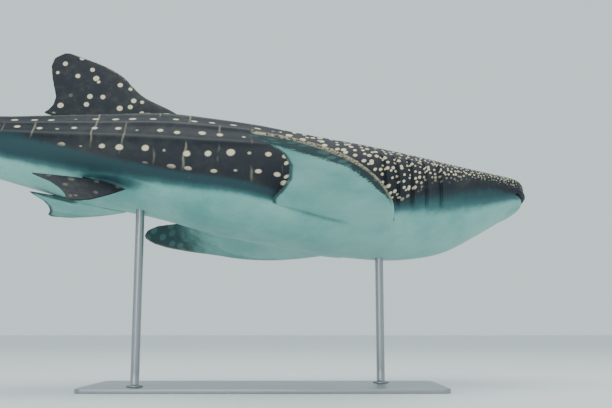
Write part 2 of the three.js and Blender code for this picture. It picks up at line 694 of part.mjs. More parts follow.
addMesh('first_dorsal_fin',
  cutByBody(middleFin(FIRST_DORSAL, 0.47, 0.0646, 1, 1, FIRST_DORSAL.rows)), SKIN_DARK);
addMesh('second_dorsal_fin',
  cutByBody(middleFin(FIRST_DORSAL, 0.685, 0.0268, REAR_SCALE, 1, FIRST_DORSAL.rows)), SKIN_DARK);
addMesh('anal_fin',
  cutByBody(middleFin(FIRST_DORSAL, 0.700, -0.020, REAR_SCALE * 0.9, -1, FIRST_DORSAL.rows)),
  SKIN_PALE);
const seam = GAP / 2 / LENGTH;
addMesh('caudal_fin_upper', cutByBody(middleFin(CAUDAL, CAUDAL_U, 0, 1, 1,
  CAUDAL.upper.map((b) => Math.max(b, seam)), CAUDAL_LEAN)), SKIN_DARK);
addMesh('caudal_fin_lower', cutByBody(middleFin(CAUDAL, CAUDAL_U, 0, 1, 1,
  CAUDAL.lower.map((b) => Math.min(b, -seam)), CAUDAL_LEAN)), SKIN_DARK);

addMesh('stand_base', standBase(), STEEL);
for (const [name, u] of Object.entries(ROD_U)) addMesh(name, standRod(u), STEEL);

export default shark;
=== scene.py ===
# %% [markdown]
# The model is a museum-size whale shark about 6.5 m long, caught while it swims:
# the head turns away, the near side is lifted and the two great pectoral fins are
# spread. The solids of the frame give its place and its proportions. Here it gets
# one skin over all the flesh, its eyes, its markings and a studio to stand in.

import bpy
import numpy as np
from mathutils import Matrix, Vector


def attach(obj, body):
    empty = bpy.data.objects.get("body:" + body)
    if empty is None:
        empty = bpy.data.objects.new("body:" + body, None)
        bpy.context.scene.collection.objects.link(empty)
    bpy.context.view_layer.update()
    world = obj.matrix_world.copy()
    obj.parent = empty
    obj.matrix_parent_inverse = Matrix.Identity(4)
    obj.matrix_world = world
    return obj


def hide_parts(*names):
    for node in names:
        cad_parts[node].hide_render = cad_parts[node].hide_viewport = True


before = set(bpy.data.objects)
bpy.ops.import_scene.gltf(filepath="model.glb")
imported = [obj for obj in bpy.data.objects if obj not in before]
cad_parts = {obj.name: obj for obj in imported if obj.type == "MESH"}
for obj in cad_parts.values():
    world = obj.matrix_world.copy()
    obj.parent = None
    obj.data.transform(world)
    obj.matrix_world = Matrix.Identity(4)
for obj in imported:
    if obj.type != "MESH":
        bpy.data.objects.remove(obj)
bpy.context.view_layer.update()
print("nodes:", ", ".join(sorted(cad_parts)))

# %% [markdown]
# Nearly every size of the animal changes along its body, and so is given as a table
# of a few stations. A smooth curve through the table suits outlines, which show
# every kink, and straight lines suit the rest. Two more curves come back all the
# time: an S-curve from 0 to 1, and a bell curve for anything that rises and falls.

# %% Curves
def along(table, x, column=1):
    """Smooth curve through the table: cubic pieces with the mean slope at each knot."""
    table = np.asarray(table, float)
    xs, ys = table[:, 0], table[:, column]
    step = np.diff(xs)
    slope = np.diff(ys) / step
    knot = np.empty(len(xs))
    knot[0], knot[-1] = slope[0], slope[-1]
    knot[1:-1] = (slope[:-1] * step[1:] + slope[1:] * step[:-1]) / (step[:-1] + step[1:])
    i = np.clip(np.searchsorted(xs, x, side="right") - 1, 0, len(xs) - 2)
    h = step[i]
    t = (x - xs[i]) / h
    return ((1 + 2 * t) * (1 - t) ** 2 * ys[i] + t * (1 - t) ** 2 * h * knot[i]
            + t * t * (3 - 2 * t) * ys[i + 1] + t * t * (t - 1) * h * knot[i + 1])


def straight(table, x, column=1):
    """Straight lines through the table, level outside it."""
    table = np.asarray(table, float)
    return np.interp(x, table[:, 0], table[:, column])


def ease(x, low, high):
    """0 below low, 1 above high, and an S-curve between."""
    t = np.clip((x - low) / (high - low), 0, 1)
    return t * t * (3 - 2 * t)


def bell(distance, width):
    """Bell curve: 1 at distance 0, and next to nothing beyond twice the width."""
    return np.exp(-(distance / width) ** 2)


print("half way up an ease:", float(ease(0.5, 0, 1)))

# %% [markdown]
# The shark is easiest to describe along its own backbone. Station u runs from 0 at
# the snout to 1 at the tail tip, y points to the animal's left and z to its back,
# all as fractions of its length. Six headings and climbs bend the axis, and one
# roll banks the whole body. Everything else is placed from this axis, so a fin or
# an eye stays on the body whatever the bend.

# %% Axis
# Length of the animal in metres, and where its station AXIS_U is in the room.
TOTAL = 6.5
AXIS_U = 0.44
AXIS_AT = np.array([-0.743, -0.218, 1.500])
ROLL = np.radians(12.0)
# Station, heading and climb in degrees.
BEND = [(0, 19, 5.5), (0.2, 21, -1), (0.44, 7, -5.5),
        (0.66, 2, -11), (0.85, -4, -5), (1.05, -8, 0)]


def frames(u):
    """Ahead, left and up at stations u: yaw and climb give ahead, roll turns the rest."""
    yaw, climb = np.radians(along(BEND, u, 1)), np.radians(along(BEND, u, 2))
    ahead = np.stack([np.cos(climb) * np.cos(yaw), np.cos(climb) * np.sin(yaw),
                      np.sin(climb)], -1)
    level = np.stack([-np.sin(yaw), np.cos(yaw), 0 * yaw], -1)
    rise = np.cross(ahead, level)
    left = level * np.cos(ROLL) - rise * np.sin(ROLL)
    up = rise * np.cos(ROLL) + level * np.sin(ROLL)
    return ahead, left, up


FINE = np.linspace(0, BEND[-1][0], 2101)
FINE_STEP = FINE[1] - FINE[0]
headings = frames(FINE)[0]
walked = np.cumsum((headings[1:] + headings[:-1]) / 2 * FINE_STEP, axis=0)
AXIS = -TOTAL * np.vstack([np.zeros(3), walked])
AXIS += AXIS_AT - [np.interp(AXIS_U, FINE, AXIS[:, k]) for k in range(3)]


def place(u, y, z):
    """World points u along the axis, y to its left and z above it."""
    u, y, z = np.broadcast_arrays(np.asarray(u, float), y, z)
    _, left, up = frames(u)
    centre = np.stack([np.interp(u, FINE, AXIS[:, k]) for k in range(3)], -1)
    return centre + TOTAL * (y[..., None] * left + z[..., None] * up)


print("snout", np.round(place(0, 0, 0), 2), "tail root", np.round(place(0.8, 0, 0), 2))

# %% [markdown]
# Every cross-section is a squarish oval (a superellipse) with a half width, a
# height to the back and a depth to the belly. The broad flat head, the deep
# chest and the thin tail stalk all come from this one table. Two blunting curves
# close the sections at the snout, which gives the whale shark's wide square front.

# %% Sections
# Station, half width, height to the back and depth to the belly.
PROFILE = [
    (0, .050, .011, .015), (.03, .060, .018, .029), (.065, .068, .025, .045),
    (.10, .073, .032, .060), (.15, .077, .042, .069), (.22, .079, .052, .069),
    (.30, .076, .059, .063), (.38, .072, .066, .053), (.44, .067, .068, .042),
    (.52, .058, .055, .036), (.62, .040, .035, .027), (.70, .027, .025, .020),
    (.76, .019, .018, .015), (.82, .012, .012, .012)]
TAPER_U, STALK_TIP = 0.80, 0.845
BACK_POWER, BELLY_POWER = 2.15, 2.3
# Length and power of the blunt end, seen from the side and from above.
BLUNT_SIDE, BLUNT_TOP = (0.016, 2), (0.040, 2.4)
TINY = 1e-6


def blunt(u, length, power):
    """Rises from 0 at the snout to 1 at the given length, like a rounded end."""
    q = np.clip(u / length, 0, 1)
    return (1 - (1 - q) ** power) ** (1 / power)


def sizes(u):
    """Half width, height and depth at stations u; past TAPER_U the stalk thins to a point."""
    tail = np.sqrt(np.clip((STALK_TIP - u) / (STALK_TIP - TAPER_U), 0, 1))
    wide, tall, deep = (along(PROFILE, np.minimum(u, PROFILE[-1][0]), k) for k in (1, 2, 3))
    high = blunt(u, *BLUNT_SIDE)
    return wide * blunt(u, *BLUNT_TOP) * tail, tall * high * tail, deep * high * tail


def oval(u, above):
    """Half width, height or depth, and power of the section, above or below its middle."""
    wide, tall, deep = sizes(u)
    return wide, np.where(above, tall, deep), np.where(above, BACK_POWER, BELLY_POWER)


def bend(v, p):
    """A power that keeps its sign."""
    return np.sign(v) * np.abs(v) ** p


def section(u, degrees):
    """y and z on the oval at an angle round it: 0 left side, 90 back, 180 right side."""
    c, s = np.cos(np.radians(degrees)), np.sin(np.radians(degrees))
    wide, high, power = oval(u, s >= 0)
    y, z = wide * bend(c, 2 / power), high * bend(s, 2 / power)
    out_y = bend(c, 2 - 2 / power) / np.maximum(wide, TINY)
    out_z = bend(s, 2 - 2 / power) / np.maximum(high, TINY)
    size = np.hypot(out_y, out_z)
    return y, z, out_y / size, out_z / size


def side_angle(degrees):
    """Angle above the side line: 90 on the back, -90 on the belly, alike left and right."""
    return np.degrees(np.arcsin(np.clip(np.sin(np.radians(degrees)), -1, 1)))


print("broadest, in metres:", round(float(2 * TOTAL * sizes(FINE)[0].max()), 2))

# %% [markdown]
# Three skin ridges run down each flank of a whale shark, the lowest one growing
# into the keel of the tail stalk. A ridge is steep below and gentle above, so one
# half of a bell curve is narrower than the other. The five gill slits are steps:
# the skin swells to a flap, drops into the slit and climbs out behind it. Both
# are heights added to the oval along its own outward direction.

# %% Relief
# Each ridge: its angle above the side line, and its height, both along the body.
KEEL_ANGLE = [(0.33, 17), (0.40, 11.5), (0.5, 10), (0.58, 7), (0.66, 2), (0.8, 0)]
KEEL_HEIGHT = [(0.32, 0), (0.40, .0042), (0.62, .0042), (0.74, .0075), (0.8, .004), (0.84, 0)]
MIDDLE_ANGLE = [(0.36, 32), (0.5, 26.5), (0.6, 23), (0.68, 20)]
MIDDLE_HEIGHT = [(0.28, 0), (0.36, .0026), (0.56, .0026), (0.66, 0)]
UPPER_ANGLE = [(0.34, 46), (0.48, 42), (0.6, 42)]
UPPER_HEIGHT = [(0.26, 0), (0.34, .0022), (0.58, .0022), (0.68, 0)]
RIDGES = ((KEEL_ANGLE, KEEL_HEIGHT), (MIDDLE_ANGLE, MIDDLE_HEIGHT),
          (UPPER_ANGLE, UPPER_HEIGHT))
CREST_HEIGHT = [(0.06, 0), (0.14, .0022), (0.4, .0026), (0.6, .0016), (0.7, 0)]
RIDGE_ABOVE, RIDGE_BELOW = 0.012, 0.004
GILL_U = (0.146, 0.165, 0.183, 0.200, 0.215)
GILL_LOW, GILL_HIGH = -27, 20
GILL_FADE_OUT, GILL_FADE_IN = 5, 3
GILL_FLAP, GILL_GROOVE, GILL_STEP = 0.0013, 0.0030, 0.0006
GILL_FLAP_LENGTH, GILL_GROOVE_LENGTH = 0.009, 0.003
# The skin lies this far inside the solids, in metres, so that it never outgrows them.
SKIN_INSET = 0.0009


def ridge(way):
    """Bell curve of the way across a ridge, wide above the crest and narrow below it."""
    return bell(way, np.where(way > 0, RIDGE_ABOVE, RIDGE_BELOW))


def gill_band(angle):
    """1 between the lower and the upper end of the gill slits."""
    above_low = ease(angle, GILL_LOW - GILL_FADE_OUT, GILL_LOW + GILL_FADE_IN)
    return above_low * (1 - ease(angle, GILL_HIGH - GILL_FADE_IN, GILL_HIGH + GILL_FADE_OUT))


def across(u, angle, line):
    """Way round the oval from a line along the body, positive towards the back."""
    wide, tall, _ = sizes(u)
    return np.radians(angle - line) * (wide + tall) / 2


def relief(u, degrees):
    """Height of the skin over the oval: ridges, back crest and gill flaps."""
    angle = side_angle(degrees)
    h = straight(CREST_HEIGHT, u) * bell(across(u, angle, 90), RIDGE_ABOVE)
    for at, height in RIDGES:
        h = h + straight(height, u) * ridge(across(u, angle, straight(at, u)))
    for slit in GILL_U:
        x = u - slit
        flap = GILL_FLAP * np.exp(np.minimum(x + GILL_STEP, 0) / GILL_FLAP_LENGTH)
        groove = GILL_GROOVE * np.exp(-np.maximum(x - GILL_STEP, 0) / GILL_GROOVE_LENGTH)
        step = ease(x, -GILL_STEP, GILL_STEP)
        h = h + gill_band(angle) * (flap * (1 - step) * (x < GILL_STEP) - groove * step)
    return h


def plain_skin(u, degrees, lift=0.0):
    """World points of the skin without the fine forms of the head."""
    y, z, out_y, out_z = section(u, degrees)
    off = relief(u, degrees) + (lift - SKIN_INSET) / TOTAL
    return place(u, y + out_y * off, z + out_z * off)


def skin_normal(u, degrees):
    """Outward direction of the plain skin, from two small steps across it."""
    du, da = 2e-4, 0.25
    u = np.maximum(u, 4e-4)
    fore = plain_skin(u - du, degrees) - plain_skin(u + du, degrees)
    side = plain_skin(u, degrees + da) - plain_skin(u, degrees - da)
    out = np.cross(side, fore)
    return out / np.maximum(np.linalg.norm(out, axis=-1, keepdims=True), 1e-12)


chest = plain_skin(0.22, np.arange(0, 361, 2))
print("girth at the chest is about",
      round(float(np.linalg.norm(np.diff(chest, axis=0), axis=1).sum()), 2), "m")

# %% [markdown]
# The mouth runs right across the front of the snout, between two thick lips. The
# nostrils lie on the upper lip, a small eye sits behind each corner of the mouth,
# and a round spiracle behind the eye. These forms are worked out as heights over
# the plain skin from the distance to the mouth line or to the eye. A boolean cut
# would leave sharp borders, while these curves stay as soft as flesh.

# %% Head forms
# In lengths: the mouth's half width, its height in the middle and its rise to the corners.
MOUTH_HALF, MOUTH_Z, MOUTH_RISE = 0.058, -0.0155, 0.0035
CORNER_FROM, CORNER_TO, MOUTH_END = 0.93, 1.05, 0.06
LIP_AT, LIP_WIDTH, LIP_HEIGHT = 0.0036, 0.0019, 0.0022
SLIT_WIDTH, SLIT_DEPTH = 0.00115, 0.0042
# A nostril is a pit beside a flap: way outwards, height over the mouth, half width and height.
NOSTRIL_PIT = (0.0382, 0.0085, 0.0026, 0.0012)
NOSTRIL_FLAP = (0.036, 0.0058, 0.0024, 0.0016)
NOSE_PIT_DEPTH, NOSE_FLAP_HEIGHT, NOSTRIL_END = 0.0022, 0.0013, 0.05
EYE_U, EYE_ANGLE = 0.052, 1.0
SPIRACLE_U, SPIRACLE_ANGLE = 0.070, 7.0
# In metres: rings of skin as height, radius and width, and hollows as where they end.
EYE_RADIUS, EYE_PROUD = 0.025, 0.009
EYELID, SPIRACLE_RIM = (0.0046, 0.031, 0.0065), (0.003, 0.021, 0.007)
SOCKET_DEPTH, SOCKET, SOCKET_SHADE = 0.013, (0.017, 0.027), (0.020, 0.029)
SPIRACLE_DEPTH, SPIRACLE_WIDTH = 0.015, 0.011
FORMS_FADE, FORMS_END = 0.09, 0.11


def on_side(degrees, side):
    """The same angle on the left (side 1) or on the right (-1)."""
    return degrees if side > 0 else 180 - degrees


def eye_seat(side):
    """Middle of the eyeball, its outward direction and the point of the skin before it."""
    degrees = on_side(EYE_ANGLE, side)
    at, out = plain_skin(EYE_U, degrees), skin_normal(EYE_U, degrees)
    return at + out * (EYE_PROUD - EYE_RADIUS), out, at


def near(points, at):
    """Distance in metres from every point to one place."""
    return np.linalg.norm(points - at, axis=-1)


def mouth_line(u, degrees):
    """Height over the mouth line in lengths, 1 inside the corners, and y."""
    y, z, _, _ = section(u, degrees)
    over = z - (MOUTH_Z + MOUTH_RISE * (y / MOUTH_HALF) ** 2)
    inside = 1 - ease(np.abs(y), MOUTH_HALF * CORNER_FROM, MOUTH_HALF * CORNER_TO)
    return over, inside * (u < MOUTH_END), y


def nostril(y, over, form):
    """Oval bell curve on the face for the nostril's pit or its flap, alike on both sides."""
    out, height, wide, tall = form
    return bell(np.abs(y) - out, wide) * bell(over - height, tall)


def ring(away, height, radius, width):
    """Raised ring of skin round a place, from the distance to it."""
    return height * bell(away - radius, width)


def head_forms(u, degrees, points):
    """Heights of lips, mouth, nostrils, eyelids and spiracles, and painted shade in each hollow."""
    over, inside, y = mouth_line(u, degrees)
    lips = LIP_HEIGHT * (bell(over - LIP_AT, LIP_WIDTH) + bell(over + LIP_AT, LIP_WIDTH))
    slit = bell(over, SLIT_WIDTH)
    front = u < NOSTRIL_END
    pit = front * nostril(y, over, NOSTRIL_PIT)
    flap = front * nostril(y, over, NOSTRIL_FLAP)
    h = inside * (lips - SLIT_DEPTH * slit) + NOSE_FLAP_HEIGHT * flap - NOSE_PIT_DEPTH * pit
    # Painted shade in the mouth slit and the nostril pits.
    hollow_shade = np.maximum(inside * slit, pit)
    for side in (1, -1):
        away = near(points, eye_seat(side)[2])
        h = h + (ring(away, *EYELID) - SOCKET_DEPTH * (1 - ease(away, *SOCKET))) / TOTAL
        hollow_shade = np.maximum(hollow_shade, 1 - ease(away, *SOCKET_SHADE))
        away = near(points, plain_skin(SPIRACLE_U, on_side(SPIRACLE_ANGLE, side)))
        hole = bell(away, SPIRACLE_WIDTH)
        h = h + (ring(away, *SPIRACLE_RIM) - SPIRACLE_DEPTH * hole) / TOTAL
        hollow_shade = np.maximum(hollow_shade, hole)
    return h, hollow_shade


def skin(u, degrees):
    """World points of the finished skin, and a mark of painted shade in its hollows."""
    points = plain_skin(u, degrees)
    if not np.any(u < FORMS_END):
        return points, np.zeros(points.shape[:-1])
    h, hollow_shade = head_forms(u, degrees, points)
    h = h * (1 - ease(u, FORMS_FADE, FORMS_END))
    return points + skin_normal(u, degrees) * (TOTAL * h)[..., None], hollow_shade


print("eyes at", *(np.round(eye_seat(side)[0], 3) for side in (1, -1)))

# %% [markdown]
# Whale sharks carry cream spots in rows with pale bars between them, small and
# crowded on the head. The pattern has to follow the skin, so each point gets two
# maps: one whose cells grow from the snout backwards, for the crowded spots, and
# one in rows that lie between the ridges, for the trunk. A third value says how
# dark the skin is, from the dark back to the pale belly. The pictures themselves
# are drawn later, in the material.

# %% Flat maps for the spots
# Size in metres of the cells that hold one crowded spot each, and length of one in a row.
DENSE_CELL = [(0, .020), (.05, .024), (.10, .030), (.15, .038), (.20, .047), (.25, .057),
              (.32, .075), (.45, .100), (.9, .100)]
DENSE_STRETCH = 0.80
ROW_STEP = 0.135
ARC_STEP, ARC_POWER = 3, 2.2
# Borders between the rows, in degrees: one above the ridges, three below the keel.
ROW_ON_BACK, ROWS_BELOW_KEEL = 67, (18, 34, 54)
RIGHT_SIDE_SHIFT = 80
cell_steps = TOTAL / straight(DENSE_CELL, (FINE[1:] + FINE[:-1]) / 2) * FINE_STEP
cells_walked = np.concatenate([[0], np.cumsum(cell_steps)])


def arc_from_back(u, degrees):
    """Distance in metres along the oval from the middle of the back, positive to the right."""
    wide, tall, deep = sizes(u)
    turn = np.radians(np.arange(90, 271, ARC_STEP))
    y = bend(np.cos(turn), 2 / ARC_POWER)
    z = bend(np.sin(turn), 2 / ARC_POWER)
    ys = wide[..., None] * y
    zs = np.where(z >= 0, tall[..., None], deep[..., None]) * z
    steps = np.hypot(np.diff(ys, axis=-1), np.diff(zs, axis=-1))
    total = np.concatenate([np.zeros(steps.shape[:-1] + (1,)), np.cumsum(steps, -1)], -1)
    at = np.abs(degrees - 90) / ARC_STEP
    low = np.clip(np.floor(at).astype(int), 0, len(turn) - 2)
    part = np.take_along_axis(total, low[..., None], -1)[..., 0]
    more = np.take_along_axis(total, low[..., None] + 1, -1)[..., 0]
    return TOTAL * np.sign(degrees - 90) * (part + (more - part) * (at - low))


def row_number(u, angle):
    """Rows passed on the way down from the back: each ridge is a border between two rows."""
    keel, centre, upper = (straight(at, u) for at, _ in RIDGES)
    borders = [90 + 0 * u, ROW_ON_BACK + 0 * u, upper, centre, keel,
               *(keel - below for below in ROWS_BELOW_KEEL), -90 + 0 * u]
    return sum(np.clip((high - angle) / (high - low), 0, 1)
               for high, low in zip(borders[:-1], borders[1:]))


def flat_maps(u, degrees):
    """Map "dense" counts cells, and "rows" counts steps along the body and rows across it."""
    dense = np.stack([np.interp(u, FINE, cells_walked) * DENSE_STRETCH,
                      arc_from_back(u, degrees) / straight(DENSE_CELL, u)], -1)
    rows = np.stack([u * TOTAL / ROW_STEP + RIGHT_SIDE_SHIFT * (degrees > 90),
                     row_number(u, side_angle(degrees))], -1)
    return {"dense": dense, "rows": rows}


print("crowded cells from snout to tail:", round(float(cells_walked[-1])))

# %% [markdown]
# The dark back and the pale belly meet along a line that wanders up and down the
# flank, with a belt of dusky sea-green below it. That belt is partly the flank's own
# colour and partly painted shade on the flank that faces sideways and down. Both
# borders are tables of angles, and each has a second table for how softly it fades.
# The marks that come out are stored on the mesh, where the material reads them.

# %% Where the skin is dark
# Edges are angles above the side line along the body, and soft is how far they fade.
DARK_EDGE = [(0, -20), (.035, -19), (.052, -15), (.075, -10), (.10, -10), (.137, -14),
             (.179, -19), (.205, -26), (.235, -38), (.29, -38), (.33, -27), (.362, -22),
             (.425, -22), (.477, -17), (.526, -8), (.58, 2), (.66, 4), (.75, -6), (.85, -25)]
DARK_SOFT = [(0, 7), (.10, 13), (.16, 11), (.2, 7), (.3, 7), (.40, 8), (.5, 12), (.6, 14),
             (.75, 16), (.85, 20)]
# Dusky belt below the dark: partly the flank's own colour, partly painted shade.
DUSK_SHADE_EDGE = [(0, -30), (.035, -30), (.062, -29), (.094, -28), (.137, -28), (.179, -30),
             (.205, -34), (.235, -46), (.29, -46), (.33, -38), (.362, -35), (.425, -40),
             (.477, -42), (.526, -42), (.58, -40), (.66, -38), (.75, -42), (.85, -60)]
DUSK_SHADE_SOFT = [(0, 15), (.12, 22), (.16, 20), (.2, 13), (.3, 9), (.36, 11), (.44, 17),
             (.52, 22), (.85, 24)]
DUSK_SHADE_DEPTH = [(0, .84), (.12, .90), (.18, 1)]
SPOT_EDGE = [(0, -12), (.036, -5), (.06, 0), (.09, 3), (.134, -1), (.166, -5), (.19, -19),
             (.235, -36), (.29, -36), (.33, -24), (.42, -18), (.5, -9), (.58, 3), (.7, -2),
             (.85, -20)]
SPOT_FADE_OUT, SPOT_FADE_IN = 5, 7
# Painted highlight along the ridge crests: ridge height for the full highlight, and its width.
CREST_FULL, CREST_WIDTH = 0.0024, 0.0012
# Above the mouth the face is dark down to the lips: height over the mouth, and station.
FACE_OVER, FACE_U = (-.0004, .0012), (.030, .062)
LIP_SPOTS_OVER, LIP_SPOTS_U = (.004, .008), (.02, .03)
SNOUT_U, FRONT_U = (.018, .036), (.285, .36)
# The pelvic fins stand in a shade of their own: station and angle, each with its reach.
PELVIC_SHADE_U, PELVIC_SHADE_ANGLE = (0.486, 0.040), (-48, 15)
PELVIC_DARK, PELVIC_DUSK = 0.28, 0.80


def skin_marks(u, degrees):
    """Marks 0 to 1: painted ridge highlight, darkness, dusky belt with shade, spots, snout, front.
    """
    angle = side_angle(degrees)
    # Painted highlight along each ridge crest, full where the ridge is high enough.
    crest = sum(np.minimum(straight(height, u) / CREST_FULL, 1)
                * bell(across(u, angle, straight(at, u)), CREST_WIDTH) for at, height in RIDGES)
    over = mouth_line(u, degrees)[0]
    face = ease(over, *FACE_OVER) * (1 - ease(u, *FACE_U))
    low, soft = along(DARK_EDGE, u), straight(DARK_SOFT, u)
    dark = ease(angle, low - soft, low + soft)
    low, soft = along(DUSK_SHADE_EDGE, u), straight(DUSK_SHADE_SOFT, u)
    dusk_and_shade = ease(angle, low - soft, low + soft) * straight(DUSK_SHADE_DEPTH, u)
    low = along(SPOT_EDGE, u)
    spotty = ease(angle, low - SPOT_FADE_OUT, low + SPOT_FADE_IN)
    shade = (bell(u - PELVIC_SHADE_U[0], PELVIC_SHADE_U[1])
             * bell(angle - PELVIC_SHADE_ANGLE[0], PELVIC_SHADE_ANGLE[1]))
    return {
        "crest": crest,
        "dark": np.maximum(dark, np.maximum(face, PELVIC_DARK * shade)),
        "dusk_and_shade": np.maximum(dusk_and_shade, np.maximum(face, PELVIC_DUSK * shade)),
        "snout": 1 - ease(u, *SNOUT_U),
        "spotty": np.maximum(spotty, ease(over, *LIP_SPOTS_OVER) * (1 - ease(u, *LIP_SPOTS_U))),
        "front": 1 - ease(u, *FRONT_U)}


print("dark at the chest down to", round(float(straight(DARK_EDGE, 0.25))), "degrees")

# %% [markdown]
# Each surface is a grid of points worked out as one numpy array. One helper joins
# neighbouring points into four-sided faces, closes the ends with a fan, turns the
# faces outwards and stores the maps and marks. Filling the mesh with whole arrays
# keeps the script quick even with a hundred thousand faces.

# %% Mesh helper
def surface(name, grid, maps=None, marks=None, start=None, end=None):
    """Mesh of a grid (rows, columns, 3), closed round its columns.

    start and end are points that close the first and the last row with a fan.
    maps have one more column than the grid, marks have as many.
    """
    rows, columns = grid.shape[:2]
    i, j = np.meshgrid(np.arange(rows - 1), np.arange(columns), indexing="ij")
    k = (j + 1) % columns
    quads = np.stack([i * columns + j, i * columns + k,
                      (i + 1) * columns + k, (i + 1) * columns + j], -1).reshape(-1, 4)
    at = np.stack([i * (columns + 1) + j, i * (columns + 1) + j + 1,
                   (i + 1) * (columns + 1) + j + 1, (i + 1) * (columns + 1) + j], -1).reshape(-1, 4)
    points = grid.reshape(-1, 3)
    corner = points[quads]
    facing = np.cross(corner[:, 2] - corner[:, 0], corner[:, 3] - corner[:, 1])
    middle = grid.mean(axis=1)[quads[:, 0] // columns]
    turned = (facing * (corner.mean(axis=1) - middle)).sum() < 0
    if turned:
        quads, at = quads[:, ::-1], at[:, ::-1]
    loops, lengths, map_at = [quads.ravel()], [np.full(len(quads), 4)], [at.ravel()]
    round_row = np.arange(columns)
    tips = [(tip, row) for tip, row in ((start, 0), (end, rows - 1)) if tip is not None]
    for tip, row in tips:
        points = np.vstack([points, tip])
        last = len(points) - 1
        here, there = row * columns + round_row, row * columns + (round_row + 1) % columns
        a, b = row * (columns + 1) + round_row, row * (columns + 1) + round_row + 1
        fan = np.stack([here, np.full(columns, last), there], -1)
        fan_at = np.stack([a, a, b], -1)
        if (row == 0) == turned:
            fan, fan_at = fan[:, ::-1], fan_at[:, ::-1]
        loops.append(fan.ravel())
        lengths.append(np.full(columns, 3))
        map_at.append(fan_at.ravel())
    loops, lengths, map_at = (np.concatenate(v) for v in (loops, lengths, map_at))
    mesh = bpy.data.meshes.new(name)
    mesh.vertices.add(len(points))
    mesh.vertices.foreach_set("co", points.ravel().astype(np.float32))
    mesh.loops.add(len(loops))
    mesh.loops.foreach_set("vertex_index", loops.astype(np.int32))
    mesh.polygons.add(len(lengths))
    starts = np.concatenate([[0], np.cumsum(lengths)[:-1]])
    mesh.polygons.foreach_set("loop_start", starts.astype(np.int32))
    mesh.polygons.foreach_set("use_smooth", np.ones(len(lengths), bool))
    mesh.update(calc_edges=True)
    for key, value in (maps or {}).items():
        layer = mesh.uv_layers.new(name=key)
        layer.data.foreach_set("uv", value.reshape(-1, 2)[map_at].ravel().astype(np.float32))
    for key, value in (marks or {}).items():
        extra = [value[row].mean() for _, row in tips]
        layer = mesh.attributes.new(key, "FLOAT", "POINT")
        layer.data.foreach_set("value", np.concatenate([value.ravel(), extra]).astype(np.float32))
    mesh.validate()
    piece = bpy.data.objects.new(name, mesh)
    bpy.context.scene.collection.objects.link(piece)
    print(f"{name}: {int((lengths - 2).sum())} triangles")
    return piece


# %% [markdown]
# The frame divides the flesh into head, gill region, trunk and tail stalk. The
# skin hides those joins: it is drawn in two meshes that share one ring of points,
# because a single mesh fine enough for the lips would be too heavy. The stations
# crowd together at the mouth and at each gill slit, where the form changes fast.

# %% Skin of the head and the body
COLUMNS = 320
ROUND_BODY = np.linspace(-90, 270, COLUMNS + 1)
JOIN_U = 0.125
# The rings at the snout grow apart like squares. Further back, stations crowd round the
# mouth and the eyes on the head, and round the gill slits on the body.
SNOUT_RINGS, SNOUT_END = 0.0002 * np.linspace(1, 6, 12) ** 2, 0.006
HEAD_ROWS, HEAD_CENTRES, HEAD_WIDTH, HEAD_CROWD = 290, (0.012, 0.03, 0.05), 0.02, 2.0
BODY_ROWS, GILL_WIDTH, GILL_CROWD = 300, 0.003, 5.0
# The gill slits' painted shade: how far behind the flap, how wide and how dark it is.
SLIT_BEHIND, SLIT_LENGTH, SLIT_SHADE = 0.0012, 0.0013, 0.42


def crowd(low, high, count, centres, width, extra):
    """Stations from low to high that crowd round the centres: equal steps of a density."""
    x = np.linspace(low, high, 6000)
    density = 1 + extra * sum(bell(x - c, width) for c in centres)
    walked_x = np.concatenate([[0], np.cumsum((density[1:] + density[:-1]) / 2)])
    return np.interp(np.linspace(0, walked_x[-1], count), walked_x, x)


def body_grid(stations):
    """Skin points, maps and marks for a row of stations."""
    u, degrees = np.meshgrid(stations, ROUND_BODY, indexing="ij")
    points, hollow_shade = skin(u, degrees)
    slit = sum(bell(u - s - SLIT_BEHIND, SLIT_LENGTH) for s in GILL_U)
    slit = np.clip(slit * gill_band(side_angle(degrees)), 0, 1)
    marks = skin_marks(u, degrees)
    # Painted shade in the gill slits joins that of the head's hollows.
    marks["hollow_shade"] = np.maximum(hollow_shade, SLIT_SHADE * slit)
    marks = {key: value[:, :-1] for key, value in marks.items()}
    return points[:, :-1], flat_maps(u, degrees), marks


head_stations = np.concatenate([
    SNOUT_RINGS[SNOUT_RINGS < SNOUT_END],
    crowd(SNOUT_END, JOIN_U, HEAD_ROWS, HEAD_CENTRES, HEAD_WIDTH, HEAD_CROWD)])
head_skin = surface("head_skin", *body_grid(head_stations), start=place(0, 0, 0))
body_stations = crowd(JOIN_U, STALK_TIP - 0.0004, BODY_ROWS, GILL_U, GILL_WIDTH, GILL_CROWD)
body_skin = surface("body_skin", *body_grid(body_stations), end=place(STALK_TIP, 0, 0))

# %% [markdown]
# A fin is a blade: a leading and a trailing edge drawn over its span, and a
# section that is thickest a third of the way back. A blade that just pokes into
# the body would show a hard joint. So each blade is followed down to where it
# meets the skin, and its last stretch is swapped for a soft skirt: a curve that
# leaves the blade along the blade and lands on the skin along the skin.

